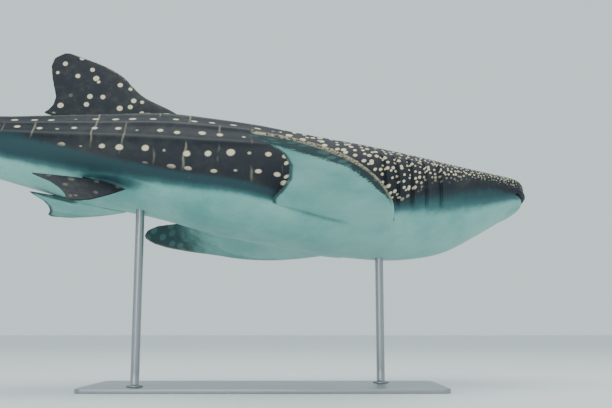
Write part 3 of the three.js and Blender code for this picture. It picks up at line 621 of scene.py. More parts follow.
# %% Fin outlines
# Each row starts with the span outwards and goes on with how far forward the leading or
# the trailing edge lies there, or how thick the blade is. All are in lengths.
PECTORAL = {
    "lead": [(-.03, .0475), (0, .0475), (.02, .043), (.05, .030), (.09, .006), (.13, -.025),
             (.16, -.055), (.178, -.079), (.184, -.090), (.187, -.099)],
    "trail": [(-.03, -.0475), (-.004, -.0475), (-.001, -.059), (.003, -.0685), (.008, -.0735),
              (.014, -.0755), (.021, -.0752), (.03, -.0712), (.04, -.0678), (.06, -.064),
              (.09, -.066), (.12, -.075), (.15, -.091), (.17, -.104), (.182, -.108), (.187, -.105)],
    "thick": [(-.03, .0150), (.02, .0135), (.09, .0085), (.16, .0042), (.187, .0022)]}
PELVIC = {
    "lead": [(-.03, .024), (0, .024), (.012, .014), (.024, .002), (.034, -.010), (.042, -.022),
             (.046, -.034)],
    "trail": [(-.03, -.024), (0, -.024), (.003, -.076), (.008, -.070), (.016, -.056),
              (.026, -.047), (.036, -.042), (.043, -.041), (.046, -.040)],
    "thick": [(-.03, .0075), (.01, .0060), (.03, .0034), (.046, .0018)]}
DORSAL = {
    "lead": [(-.04, .060), (0, .054), (.0155, .0307), (.0275, -.001), (.040, -.0185),
             (.051, -.031), (.0633, -.0590), (.0692, -.0825), (.0715, -.0925)],
    "trail": [(-.04, -.062), (-.0125, -.064), (-.0075, -.111), (-.003, -.1055), (.0045, -.1010),
              (.0148, -.1000), (.0379, -.1085), (.0533, -.1125), (.0645, -.1105), (.0715, -.1005)],
    "thick": [(-.04, .0150), (.01, .0105), (.04, .0060), (.0715, .0026)]}
CAUDAL = {
    "lead": [(-.112, -.100), (-.10, -.083), (-.08, -.060), (-.05, -.029), (-.025, -.006),
             (-.010, .018), (.010, .018), (.03, -.010), (.06, -.040), (.10, -.083),
             (.14, -.127), (.17, -.163), (.190, -.190), (.197, -.202)],
    "trail": [(-.112, -.108), (-.10, -.1075), (-.08, -.101), (-.05, -.093), (-.02, -.088),
              (0, -.087), (.03, -.092), (.06, -.104), (.10, -.130), (.14, -.161),
              (.17, -.187), (.190, -.206), (.197, -.211)],
    "thick": [(-.112, .0020), (-.06, .0050), (-.028, .0100), (-.012, .0225), (0, .0262),
              (.012, .0225), (.03, .0110), (.08, .0070), (.14, .0042), (.197, .0020)]}
print("span of the pectoral fin:", round(TOTAL * PECTORAL["lead"][-1][0], 2), "m")

# %% Blades
EDGE = 0.00055
# Highest value of sqrt(c) * (1 - c), which it has a third of the way back.
FULLEST = 0.385
CHORD_STEPS, CHORD_CROWD = 34, 1.15
CHORD = ((1 - np.cos(np.linspace(0, np.pi, CHORD_STEPS + 1))) / 2) ** CHORD_CROWD
LOOP_C = np.concatenate([CHORD, CHORD[::-1]])
LOOP_SIGN = np.concatenate([np.ones(CHORD_STEPS + 1), -np.ones(CHORD_STEPS + 1)])
NICK, NICK_WAVES, NICK_FROM = 0.0002, (610, 1370), (0.004, 0.02)
TRAIL_SMOOTH = (-.0016, -.0008, 0, .0008, .0016)
TWIST_REACH = 0.12


def edges(shape, b):
    """Leading and trailing edge at span b; small nicks keep the rear edge from looking cut."""
    trail = np.mean([straight(shape["trail"], b + d) for d in TRAIL_SMOOTH], axis=0)
    waves = np.sin(b * NICK_WAVES[0]) * np.sin(b * NICK_WAVES[1] + 1)
    return along(shape["lead"], b), trail + NICK * waves * ease(b, *NICK_FROM)


def chord_place(shape, b, c):
    """Place along the body at span b and chord fraction c: 0 leads, 1 trails."""
    lead, trail = edges(shape, b)
    return lead + (trail - lead) * c


def fold(shape, b, c):
    """Half the blade's thickness: a root times what is left of the chord, and the edge."""
    return straight(shape["thick"], b) / 2 * np.sqrt(c) * (1 - c) / FULLEST + EDGE / 2


def blade_paired(shape, side, u, angle, lift, incidence, twist, sweep, curl, long, wide):
    """Points of a paired fin for span b, chord fraction c and face sign s.

    The span leaves the side at the lift angle and sweeps back; the chord pitches
    about the span, more towards the tip if twisted; curl bends the blade.
    """
    ahead, left, up = (v[0] for v in frames(np.array([u])))
    root = plain_skin(u, on_side(angle, side))
    out = left * side
    lift, sweep, level_pitch = np.radians(lift), np.radians(sweep), np.radians(incidence)
    span0 = out * np.cos(lift) + up * np.sin(lift)
    top = up * np.cos(lift) - out * np.sin(lift)
    span = span0 * np.cos(sweep) - ahead * np.sin(sweep)
    fore = ahead * np.cos(sweep) + span0 * np.sin(sweep)
    level = top * np.cos(level_pitch) - fore * np.sin(level_pitch)

    def blade(b, c, s):
        reach = b * wide
        pitch = np.radians(incidence + twist * np.clip(reach / TWIST_REACH, 0, 1))[..., None]
        chord = fore * np.cos(pitch) + top * np.sin(pitch)
        face = top * np.cos(pitch) - fore * np.sin(pitch)
        a = chord_place(shape, b, c) * long
        rise = curl * np.maximum(reach, 0) ** 2
        return root + TOTAL * (span * reach[..., None] + level * rise[..., None]
                               + chord * a[..., None] + face * (fold(shape, b, c) * s)[..., None])
    return blade


def blade_middle(shape, u, height, scale, way, lean=0.0):
    """Points of a fin in the middle plane, standing on the back (way 1) or below (-1)."""
    ahead, left, up = (v[0] for v in frames(np.array([u])))
    root = place(u, 0, height)

    def blade(b, c, s):
        a = chord_place(shape, b, c) * scale
        sideways = fold(shape, b, c) * s * scale + lean * (b * scale) ** 2
        return root + TOTAL * (up * (way * b * scale)[..., None] + ahead * a[..., None]
                               + left * sideways[..., None])
    return blade


print("points round a blade:", len(LOOP_C))

# %% [markdown]
# A blade knows nothing of the body that it grows from. To join the two, any point
# in space is traced back to its station and its angle round the body: a first guess
# comes from the nearest point of the axis, and a few steps along the axis mend it.

# %% Where a point lies on the body
COARSE_STEP, PLACE_ROUNDS = 10, 4
PLACE_LOW, PLACE_HIGH = 0.0005, 0.95


def body_place(points):
    """Station and y, z of world points: the axis point whose cross-plane holds each point."""
    coarse = np.arange(0, len(FINE), COARSE_STEP)
    flat = points.reshape(-1, 3)
    gap = ((flat[:, None, :] - AXIS[coarse][None]) ** 2).sum(-1)
    u = FINE[coarse][gap.argmin(axis=1)]
    for _ in range(PLACE_ROUNDS):
        past = ((flat - place(u, 0, 0)) * frames(u)[0]).sum(-1) / TOTAL
        u = np.clip(u - past, PLACE_LOW, PLACE_HIGH)
    _, left, up = frames(u)
    rest = (flat - place(u, 0, 0)) / TOTAL
    found = u, (rest * left).sum(-1), (rest * up).sum(-1)
    return tuple(value.reshape(points.shape[:-1]) for value in found)


def body_angle(u, y, z):
    """Angle round the oval of a point y, z, from -90 to 270 degrees."""
    wide, high, power = oval(u, z >= 0)
    c = bend(y / np.maximum(wide, TINY), power / 2)
    s = bend(z / np.maximum(high, TINY), power / 2)
    degrees = np.degrees(np.arctan2(s, c))
    return np.where(degrees < -90, degrees + 360, degrees)


def outside(u, y, z):
    """Below 0 inside the oval, 0 on it, above 0 outside."""
    wide, high, power = oval(u, z >= 0)
    return (np.abs(y / np.maximum(wide, TINY)) ** power
            + np.abs(z / np.maximum(high, TINY)) ** power - 1)


print("right eye at station", *np.round(body_place(eye_seat(-1)[2][None])[0], 3))

# %% [markdown]
# A fin is darkest behind its leading edge and at its rim. The material can't
# measure how far an edge is, so the distances are worked out here and stored as
# marks, next to those that the skin of the body has at the same place.

# %% Marks of a fin
# Width in metres of the dark band behind the leading edge, against the share of the span.
BAND = [(0, .02), (.20, .02), (.32, .06), (.43, .07), (.53, .08), (.60, .12), (.68, .20),
        (.75, .29), (.82, .46), (1, .52)]
FAR = 9.0


def rear_lobe(shape, a, b):
    """Distance in metres to the lower edge of the lobe behind the fin's root.

    The first part of the trailing edge runs backwards rather than outwards, so
    there the distance is measured along the span instead of along the chord.
    """
    rear = np.array(shape["trail"])[1:]
    first = rear[:np.argmax(np.diff(rear[:, 1]) > 0) + 1]
    below = np.interp(-a, -first[:, 1], first[:, 0])
    return np.where(-a > -first[0, 1], (b - below) * TOTAL, FAR)


def fin_maps(shape, grid, b, c, s):
    """Maps and marks of a fin's points: those of the body's skin, and distances to its edges."""
    u, y, z = body_place(grid)
    degrees = body_angle(u, y, z)
    maps, marks = flat_maps(u, degrees), skin_marks(u, degrees)
    low, high = shape["lead"][0][0], shape["lead"][-1][0]
    lead, trail = edges(shape, b)
    chord = (lead - trail) * TOTAL
    a = lead + (trail - lead) * c
    tail = shape is CAUDAL
    other_end = (b - low) * TOTAL if tail else rear_lobe(shape, a, b)
    marks["upper"] = (s + 1) / 2 + 0 * b
    marks["lead"] = c * chord
    marks["band"] = c * chord / straight(BAND, b / high)
    marks["rim"] = np.minimum(np.minimum((1 - c) * chord, (high - b) * TOTAL), other_end)
    marks["span"] = np.clip((np.abs(b) if tail else b) / high, 0, 1)
    maps["fin"] = np.stack([a * TOTAL + FAR * (s < 0), b * TOTAL + 0 * c], -1)
    maps = {key: np.concatenate([value, value[:, :1]], axis=1) for key, value in maps.items()}
    return maps, marks


print("band half way out:", round(float(straight(BAND, 0.5)), 3), "m wide")

# %% Fin with its skirt
SKIRT_ROWS, BLADE_ROWS, SEARCH_ROWS = 12, 80, 260
BLADE_CROWD, SKIRT_LIMIT, AWAY_FROM = 0.9, 0.25, 0.35
# In metres: how deep the skirt's foot sinks, and the step that finds its way inwards.
SKIRT_SINK, SKIRT_STEP = 0.0006, 0.004
BLADE_STEP = 0.0008
SKIRT_END, SKIRT_THIN = (0.70, 0.97), 0.88


def unit(vectors):
    """The same directions at length 1."""
    return vectors / np.maximum(np.linalg.norm(vectors, axis=1, keepdims=True), 1e-9)


def skin_crossing(blade, low, high):
    """Span at which each line of the blade leaves the body, between two steps of a search."""
    b = np.linspace(low, high, SEARCH_ROWS)[:, None] + 0 * LOOP_C[None]
    level = outside(*body_place(blade(b, LOOP_C + 0 * b, LOOP_SIGN + 0 * b)))
    inside = level < 0
    last = np.where(inside.any(axis=0), len(b) - 1 - inside[::-1].argmax(axis=0), 0)
    after = np.minimum(last + 1, len(b) - 1)
    column = np.arange(level.shape[1])
    f0, f1 = level[last, column], level[after, column]
    part = np.clip(f0 / (f0 - f1 + 1e-9), 0, 1)
    return b[last, column] + (b[after, column] - b[last, column]) * part


def skirt_landing(blade, cross, spread):
    """Where the skirt lands and the way inwards there, on the skin rolled out flat.

    The blade's outline on the flat skin is grown outwards by the spread, less so
    at its rear end, along directions that are smoothed round the outline.
    """
    foot_u, foot_y, foot_z = body_place(blade(cross[None], LOOP_C[None], LOOP_SIGN[None]))
    foot_angle = body_angle(foot_u, foot_y, foot_z)[0]
    wide, tall, _ = sizes(np.array([foot_u[0].mean()]))
    radius = TOTAL * (wide + tall)[0] / 2
    plane = np.stack([foot_u[0] * TOTAL, np.radians(foot_angle) * radius], -1)
    after = np.roll(plane, -1, axis=0)
    run = after - np.roll(plane, 1, axis=0)
    area = (plane[:, 0] * after[:, 1] - plane[:, 1] * after[:, 0]).sum()
    out = np.stack([run[:, 1], -run[:, 0]], -1) * np.sign(area)
    for _ in range(3):
        out = unit(out)
        out = (np.roll(out, 1, axis=0) + 2 * out + np.roll(out, -1, axis=0)) / 4
    out = unit(out)

    def on_skin(flat):
        return plain_skin(flat[:, 0] / TOTAL, np.degrees(flat[:, 1] / radius), -SKIRT_SINK)

    landing = plane + out * spread[:, None]
    foot = on_skin(landing)
    return foot, unit(on_skin(landing - out * SKIRT_STEP) - foot)


def fin_skin(name, blade, shape, skirt, spread):
    """Blade from its tip down to the skirt, then the skirt down onto the skin.

    Each line of the skirt is a cubic from the foot to the blade's start that
    leaves both along their own surfaces.
    """
    low, high = shape["lead"][0][0], shape["lead"][-1][0]
    c, s = LOOP_C[None], LOOP_SIGN[None]
    cross = skin_crossing(blade, low, high)
    taper = 1 - SKIRT_THIN * ease(LOOP_C, *SKIRT_END)
    foot, inward = skirt_landing(blade, cross, spread * taper)
    start = np.minimum(cross + taper * skirt / TOTAL, high - SKIRT_LIMIT * (high - cross))
    top = blade(start[None], c, s)[0]
    rising = unit(blade(start[None] + BLADE_STEP, c, s)[0] - top)
    size = np.linalg.norm(top - foot, axis=1, keepdims=True)
    t = np.linspace(0, 1, SKIRT_ROWS)[:, None, None]
    skirt_grid = ((1 + 2 * t) * (1 - t) ** 2 * foot + t * (1 - t) ** 2 * inward * size
                  + t * t * (3 - 2 * t) * top - t * t * (1 - t) * rising * size)
    part = np.linspace(0, 1, BLADE_ROWS)[1:, None] ** BLADE_CROWD
    b_blade = start[None] + (high - start[None]) * part
    blade_grid = blade(b_blade, c + 0 * b_blade, s + 0 * b_blade)
    grid = np.concatenate([skirt_grid, blade_grid])
    b = np.concatenate([cross[None] + (start - cross)[None] * t[:, :, 0], b_blade])
    maps, marks = fin_maps(shape, grid, b, c, s)
    marks["away"] = np.concatenate([ease(t[:, :, 0] + 0 * start[None], AWAY_FROM, 1.0),
                                    1 + 0 * b_blade])
    return surface(name, grid, maps, marks, end=grid[-1].mean(axis=0))


# %% Fins
# Outline, side, station and angle of the root, then lift, incidence, twist, sweep and
# curl, and how much longer and wider than its outline the fin is.
PAIRED_POSES = {
    "pectoral_fin_right": (PECTORAL, -1, .254, -40, 13.0, -5.0, -2, 11.7, -1.62, 1.062, 1.058),
    "pectoral_fin_left": (PECTORAL, 1, .254, -40, 19.4, -5.3, -39, 37.8, -2.07, 1.004, 1.017),
    "pelvic_fin_right": (PELVIC, -1, .490, -54.8, -45.9, -9.3, 0, -15.7, -1.2, 1.006, 1.026),
    "pelvic_fin_left": (PELVIC, 1, .503, -52.6, -13.9, 11.5, 0, 29.4, 0.6, 1.1, 1.027)}
# Outline, station and height of the root, scale, and up (1) or down (-1).
MIDDLE_POSES = {
    "first_dorsal_fin": (DORSAL, 0.47, 0.0646, 1, 1),
    "second_dorsal_fin": (DORSAL, 0.685, 0.0268, 0.46, 1),
    "anal_fin": (DORSAL, 0.700, -0.020, 0.414, -1)}
# Height of the skirt on the blade and its spread on the skin, in metres.
SKIRTS = {"pectoral": (0.055, 0.06), "pelvic": (0.022, 0.025), "first": (0.035, 0.045),
          "second": (0.018, 0.02), "anal": (0.018, 0.02)}
fin_skins = {}
for poses, make_blade in ((PAIRED_POSES, blade_paired), (MIDDLE_POSES, blade_middle)):
    for node, pose in poses.items():
        fin_skins[node] = fin_skin(node + "_skin", make_blade(*pose), pose[0],
                                   *SKIRTS[node.split("_")[0]])

# %% [markdown]
# The tail is one tall crescent. The stalk runs on inside it and thins out there,
# while the crescent is thickest around that core, so the two forms melt together
# without a skirt, as on the living animal. The longer upper lobe carries the end
# of the backbone.

# %% Tail fin
TAIL_U, TAIL_LEAN, TAIL_ROWS = 0.79, 0.3, 190
# The tail's own colours take over from the body's away from the stalk, sooner at the rear.
TAIL_AWAY, AWAY_AT_REAR = (0.018, 0.045), 0.35


def caudal_skin():
    """The crescent from its lower to its upper tip, closed at both."""
    low, high = CAUDAL["lead"][0][0], CAUDAL["lead"][-1][0]
    b = np.linspace(low, high, TAIL_ROWS)[:, None] + 0 * LOOP_C[None]
    c, s = LOOP_C[None] + 0 * b, LOOP_SIGN[None] + 0 * b
    grid = blade_middle(CAUDAL, TAIL_U, 0.0, 1, 1, TAIL_LEAN)(b, c, s)
    maps, marks = fin_maps(CAUDAL, grid, b, c, s)
    marks["away"] = ease(np.abs(b) + AWAY_AT_REAR * marks["lead"] / TOTAL, *TAIL_AWAY)
    return surface("caudal_fin_skin", grid, maps, marks, start=grid[0].mean(axis=0),
                   end=grid[-1].mean(axis=0))


tail_skin = caudal_skin()

# %% [markdown]
# A whale shark's eye is about as big as a golf ball: a dark ball with a thin pale
# ring round a black pupil, deep in a ring of skin. The ball is a grid of rings
# about its outward direction. The front swells a little, as the clear cornea
# does, and a mark holds the angle from the front, from which the ring is painted.

# %% Eyeballs
BALL_ROUND, CORNEA, CORNEA_REACH = 0.985, 0.015, 0.5


def eyeball(name, side):
    """Ball about the outward axis; its radius grows slightly near the front."""
    centre, out, _ = eye_seat(side)
    beside = np.cross(out, [0, 0, 1.0])
    beside /= np.linalg.norm(beside)
    over = np.cross(out, beside)
    polar = np.radians(np.linspace(2, 178, 60))[:, None]
    around = np.radians(np.arange(0, 360, 5))[None]
    radius = EYE_RADIUS * (BALL_ROUND + CORNEA * bell(polar, CORNEA_REACH))
    grid = centre + radius[..., None] * (
        (np.cos(polar) + 0 * around)[..., None] * out
        + (np.sin(polar) * np.cos(around))[..., None] * beside
        + (np.sin(polar) * np.sin(around))[..., None] * over)
    marks = {"polar": np.degrees(polar) + 0 * around}
    return surface(name, grid, None, marks, start=centre + out * EYE_RADIUS,
                   end=centre - out * EYE_RADIUS * BALL_ROUND)


eyes = {"eye_left": eyeball("eyeball_left", 1), "eye_right": eyeball("eyeball_right", -1)}

# %% [markdown]
# The stand is plain museum metalwork: a plate with eased edges and two round rods
# with a collar at the foot. For the plate, a profile is carried round its outline.
# It gives the edges their small radius, which catches the light as on a real plate.

# %% Base plate
BASE_HALF = (1.25, 0.45)
BASE_THICK, BASE_CORNER, BASE_EASE = 0.030, 0.060, 0.004
PLATE_ROUND = np.arange(0, 360, 3)


def plate_outline(inset):
    """Rounded rectangle drawn inwards by the inset, as x and y."""
    turn = np.radians(PLATE_ROUND)
    quarter = PLATE_ROUND // 90
    sx = np.where((quarter == 0) | (quarter == 3), 1, -1)
    sy = np.where(quarter < 2, 1, -1)
    r = BASE_CORNER - inset
    return (sx * (BASE_HALF[0] - BASE_CORNER) + r * np.cos(turn),
            sy * (BASE_HALF[1] - BASE_CORNER) + r * np.sin(turn))


def stand_plate():
    """The outline carried up a profile with quarter-round edges, flat above and below."""
    bow = np.radians(np.linspace(0, 90, 5))
    under = [(BASE_EASE * (1 - np.sin(v)), BASE_EASE * (1 - np.cos(v))) for v in bow]
    over = [(i, BASE_THICK - z) for i, z in under[::-1]]
    grid = np.stack([np.stack([*plate_outline(inset), np.full(len(PLATE_ROUND), z)], -1)
                     for inset, z in under + over])
    plate = surface("stand_plate", grid, start=np.array([0, 0, 0.0]),
                    end=np.array([0, 0, BASE_THICK]))
    normals = np.empty(len(plate.data.polygons) * 3)
    plate.data.polygons.foreach_get("normal", normals)
    plate.data.polygons.foreach_set("use_smooth", np.abs(normals[2::3]) < 0.999)
    return plate


stand = {"stand_base": stand_plate()}

# %% [markdown]
# A rod is turned on a lathe, so it is one profile carried round its own axis: an
# eased collar that rests on the plate, and a shaft that ends inside the belly.

# %% Rods
ROD_U = {"stand_rod_front": 0.187, "stand_rod_rear": 0.462}
ROD_RADIUS, COLLAR_RADIUS, COLLAR_THICK = 0.030, 0.058, 0.012
ROD_GAP, ROD_TOP_Z = 0.0004, -0.03


def stand_rod(name, u):
    """A turned rod: collar with eased rim, then a straight shaft into the belly."""
    x, y = place(u, 0, 0)[:2]
    top = float(place(u, 0, ROD_TOP_Z)[2])
    base = BASE_THICK + ROD_GAP
    collar = base + COLLAR_THICK
    profile = [(COLLAR_RADIUS - 0.002, base), (COLLAR_RADIUS, base + 0.002),
               (COLLAR_RADIUS, collar - 0.003), (COLLAR_RADIUS - 0.003, collar),
               (ROD_RADIUS + 0.006, collar + 0.001), (ROD_RADIUS, collar + 0.008),
               (ROD_RADIUS, base + 0.10), (ROD_RADIUS, top - 0.05), (ROD_RADIUS, top)]
    turn = np.radians(np.arange(0, 360, 6))
    grid = np.stack([np.stack([x + r * np.cos(turn), y + r * np.sin(turn),
                               np.full(len(turn), z)], -1) for r, z in profile])
    return surface(name, grid, start=np.array([x, y, base]), end=np.array([x, y, top]))


for node, u in ROD_U.items():
    stand[node] = stand_rod(node.replace("stand_", "") + "_bar", u)

# %% [markdown]
# A material is a net of nodes, and sums are quicker to read than nets. A small
# class wraps a socket so that a + b or 1 - mask adds the Math node for it. All
# other nodes come from one method that takes the node's type, its settings and
# the values or links of its sockets.

# %% A socket in sums
class Value:
    """A shader socket that takes part in sums."""

    def __init__(self, board, socket):
        self.board = board
        self.socket = socket

    def __add__(self, other):
        return self.board.math("ADD", self, other)

    def __sub__(self, other):
        return self.board.math("SUBTRACT", self, other)

    def __rsub__(self, other):
        return self.board.math("SUBTRACT", other, self)

    def __mul__(self, other):
        return self.board.math("MULTIPLY", self, other)

    __radd__ = __add__
    __rmul__ = __mul__


print("a socket now takes part in sums and products")

# %% A board of nodes
class Board:
    """One material's node tree."""

    def __init__(self, name):
        self.material = bpy.data.materials.new(name)
        self.material.use_nodes = True
        self.tree = self.material.node_tree
        self.tree.nodes.clear()

    def node(self, kind, settings=None, sockets=None, out=0):
        """Add a node, set it up, feed its sockets and return one output."""
        made = self.tree.nodes.new(kind)
        for key, value in (settings or {}).items():
            setattr(made, key, value)
        for key, value in (sockets or {}).items():
            if isinstance(value, Value):
                self.tree.links.new(value.socket, made.inputs[key])
            else:
                made.inputs[key].default_value = value
        return Value(self, made.outputs[out]) if made.outputs else None

    def math(self, operation, *terms):
        """One Math node on numbers or sockets."""
        return self.node("ShaderNodeMath", {"operation": operation}, dict(enumerate(terms)))

    def ramp(self, x, low, high):
        """0 below low, 1 above high, with an S-curve between."""
        return self.node("ShaderNodeMapRange", {"interpolation_type": "SMOOTHSTEP"},
                         {0: x, 1: low, 2: high, 3: 0.0, 4: 1.0})

    def mark(self, name):
        """A mark that is stored on the mesh."""
        return self.node("ShaderNodeAttribute", {"attribute_name": name}, out=2)

    def uv(self, name):
        """A flat map that is stored on the mesh."""
        return self.node("ShaderNodeUVMap", {"uv_map": name})

    def place(self):
        """The point on the piece, in metres."""
        return self.node("ShaderNodeTexCoord", out=3)

    def parts(self, vector):
        """The three numbers of a vector or a colour."""
        split = self.node("ShaderNodeSeparateXYZ", None, {0: vector})
        return [Value(self, output) for output in split.socket.node.outputs]

    def vector(self, x, y):
        """Two numbers as a place on a flat map."""
        return self.node("ShaderNodeCombineXYZ", None, {0: x, 1: y})

    def noise(self, vector, scale, detail=3.0, rough=0.5):
        """Cloudy noise from about 0 to 1."""
        return self.node("ShaderNodeTexNoise", None,
                         {"Vector": vector, "Scale": scale, "Detail": detail, "Roughness": rough})

    def cells(self, vector, scale, randomness=1.0, dimensions="2D"):
        """Distance to the nearest cell's point, and that cell's own random numbers."""
        first = self.node("ShaderNodeTexVoronoi", {"voronoi_dimensions": dimensions},
                          {"Vector": vector, "Scale": scale, "Randomness": randomness})
        colour = Value(self, first.socket.node.outputs[1])
        return first, self.parts(colour)

    def mix(self, factor, a, b):
        """Colour a where the factor is 0, colour b where it is 1."""
        return self.node("ShaderNodeMix", {"data_type": "RGBA"}, {0: factor, 6: a, 7: b}, out=2)

    def finish(self, colour, rough, height, depth, coat=0.0, strength=0.6, gloss=0.5,
               metal=0.0):
        """Close the board with a shader and a bump of that height, and return the material."""
        bump = self.node("ShaderNodeBump", None,
                         {"Strength": strength, "Distance": depth, "Height": height})
        shader = self.node("ShaderNodeBsdfPrincipled", None,
                           {"Base Color": colour, "Roughness": rough, "Normal": bump,
                            "Coat Weight": coat, "Coat Roughness": 0.06,
                            "Specular IOR Level": gloss, "Metallic": metal})
        self.node("ShaderNodeOutputMaterial", None, {0: shader})
        print(f"{self.material.name}: {len(self.tree.nodes)} nodes")
        return self.material


# %% Colours
def paint(r, g, b):
    """Colour from 0-255 screen values, as the linear numbers a shader takes."""
    v = np.array([r, g, b]) / 255
    line = np.where(v <= 0.04045, v / 12.92, ((v + 0.055) / 1.055) ** 2.4)
    return (*line.tolist(), 1.0)


print("middle grey is", round(paint(128, 128, 128)[0], 3))

# %% [markdown]
# The back is a slate blue-grey, slightly brown in places; the belly is pale with
# a sea-green tint, and the two meet in a mottled border. Paint names are given as
# screen values, because those can be read off a swatch, and are turned into the
# linear numbers that a shader takes.

# %% Skin colours
BACK, BACK_BROWN = paint(30, 36, 43), paint(56, 58, 58)
# Dusky belt colours: partly the flank's own, partly painted shade where it faces sideways and down.
FLANK, FLANK_DEEP = paint(62, 104, 106), paint(30, 56, 64)
BELLY, BELLY_SHADE = paint(140, 198, 188), paint(104, 168, 162)
CREAM = paint(226, 215, 180)
# Colour of the painted highlight along the ridge crests.
RIDGE_HIGHLIGHT = paint(128, 134, 132)
# Painted shade for the mouth, the gill slits, the nostrils, the spiracles and the eye sockets.
SHADE_IN_HOLLOWS = paint(14, 16, 18)
print("the belly is", round(BELLY[1] / BACK[1]), "times as light as the back")

# %% [markdown]
# Small cream spots crowd on the head. A cell texture scatters points and measures
# the way to the nearest one, so a spot is simply where that way is short. Painting
# each spot by hand would fix their places but not look more alive.

# %% Crowded spots
# Scale of the cells, how far their points stray, and a spot's radius: least and extra.
FLAT_CELLS = (1.16, 0.75, 0.17, 0.15)
SNOUT_CELLS = (52.0, 0.80, 0.30, 0.12)
SPOT_BLUR = 0.05


def cell_spots(board, where, cells, dimensions, wobble, shrink):
    """1 near enough to a cell's point, within a radius of its own less the shrink."""
    scale, stray, least, extra = cells
    distance, chance = board.cells(where, scale, stray, dimensions)
    radius = least + extra * chance[0] - shrink
    return 1 - board.ramp(distance + wobble, radius - SPOT_BLUR, radius + SPOT_BLUR)


def crowded_spots(board, position):
    """Small spots from flat cells.

    The flat cells run together at the snout, so there cells in space take over.
    """
    wobble = (board.noise(position, 26.0, 2.0) - 0.5) * 0.12
    snout = board.mark("snout")
    flat = cell_spots(board, board.uv("dense"), FLAT_CELLS, "2D", wobble, 0.36 * snout)
    solid = cell_spots(board, position, SNOUT_CELLS, "3D", wobble, 0.50 * (1 - snout))
    return board.math("MAXIMUM", flat, solid)


print("crowded spots are", round(1 / SNOUT_CELLS[0], 3), "m apart on the snout")

# %% [markdown]
# On the trunk the spots lie in rows between the ridges, with thin broken bars
# across. A cell texture would lose the rows. So each spot gets a square of its own,
# and a random number for each square moves the spot a little and sets its size.

# %% Rows of spots
# In steps: how far each row is shifted, and how far a spot strays along and down.
ROW_SHIFT, STRAY = 0.37, (0.34, 0.18)
SPOT_DOWN = 0.60
# In metres: a square's length and height, and a small spot's radius and a large one's more.
SQUARE = (ROW_STEP * 0.80, 0.130)
SMALL_SPOT, LARGE_MORE, LARGE_VARY, ROW_BLUR = 0.0080, 0.0048, 0.0066, 0.005
BAR_STRENGTH = 0.24


def spot_rows(board, position):
    """Rows of spots of two sizes, and thin wavy bars between the columns."""
    along_body, down, _ = board.parts(board.uv("rows"))
    wobble = board.noise(position, 6.0, 1.0) - 0.5
    row = board.math("FLOOR", down)
    along_row = along_body + row * ROW_SHIFT
    column = board.math("FLOOR", along_row)
    chance = board.parts(board.node("ShaderNodeTexWhiteNoise", {"noise_dimensions": "2D"},
                                    {0: board.vector(column, row)}, out=1))
    x = (along_row - column - 0.5 - (chance[0] - 0.5) * STRAY[0]) * SQUARE[0]
    y = (down - row - SPOT_DOWN - (chance[1] - 0.5) * STRAY[1]) * SQUARE[1]
    distance = board.math("SQRT", x * x + y * y) + wobble * 0.010
    large = board.ramp(chance[2], 0.22, 0.26)
    low_rows = board.ramp(row, 3.4, 3.6)
    more = large * (LARGE_MORE + LARGE_VARY * chance[2]) * (1 + 0.10 * low_rows)
    radius = SMALL_SPOT + more
    spots = 1 - board.ramp(distance, radius - ROW_BLUR, radius + ROW_BLUR)
    wave = along_body * 0.66 + wobble * 0.30
    line = board.math("ABSOLUTE", wave - board.math("ROUND", wave))
    broken = board.ramp(board.noise(position, 5.0, 2.0), 0.46, 0.60)
    bars = (1 - board.ramp(line, 0.010, 0.048)) * broken * BAR_STRENGTH
    return board.math("MAXIMUM", spots * (0.70 + 0.30 * large), bars)


print("spots in a row are", round(SQUARE[0], 3), "m apart")

# %% [markdown]
# The skin's material joins all this: belly, a dusky belt that is partly painted
# shade, and dark back from the marks, then pores, a painted highlight along each
# ridge crest, and spots on top. It is satin rather than wet, with creases too fine
# for the mesh in the bump.

# %% Skin material
CREST_HIGHLIGHT_STRENGTH, PORE_STRENGTH, SPOT_STRENGTH = 0.22, 0.5, 0.74
SKIN_GLOSS = 0.28


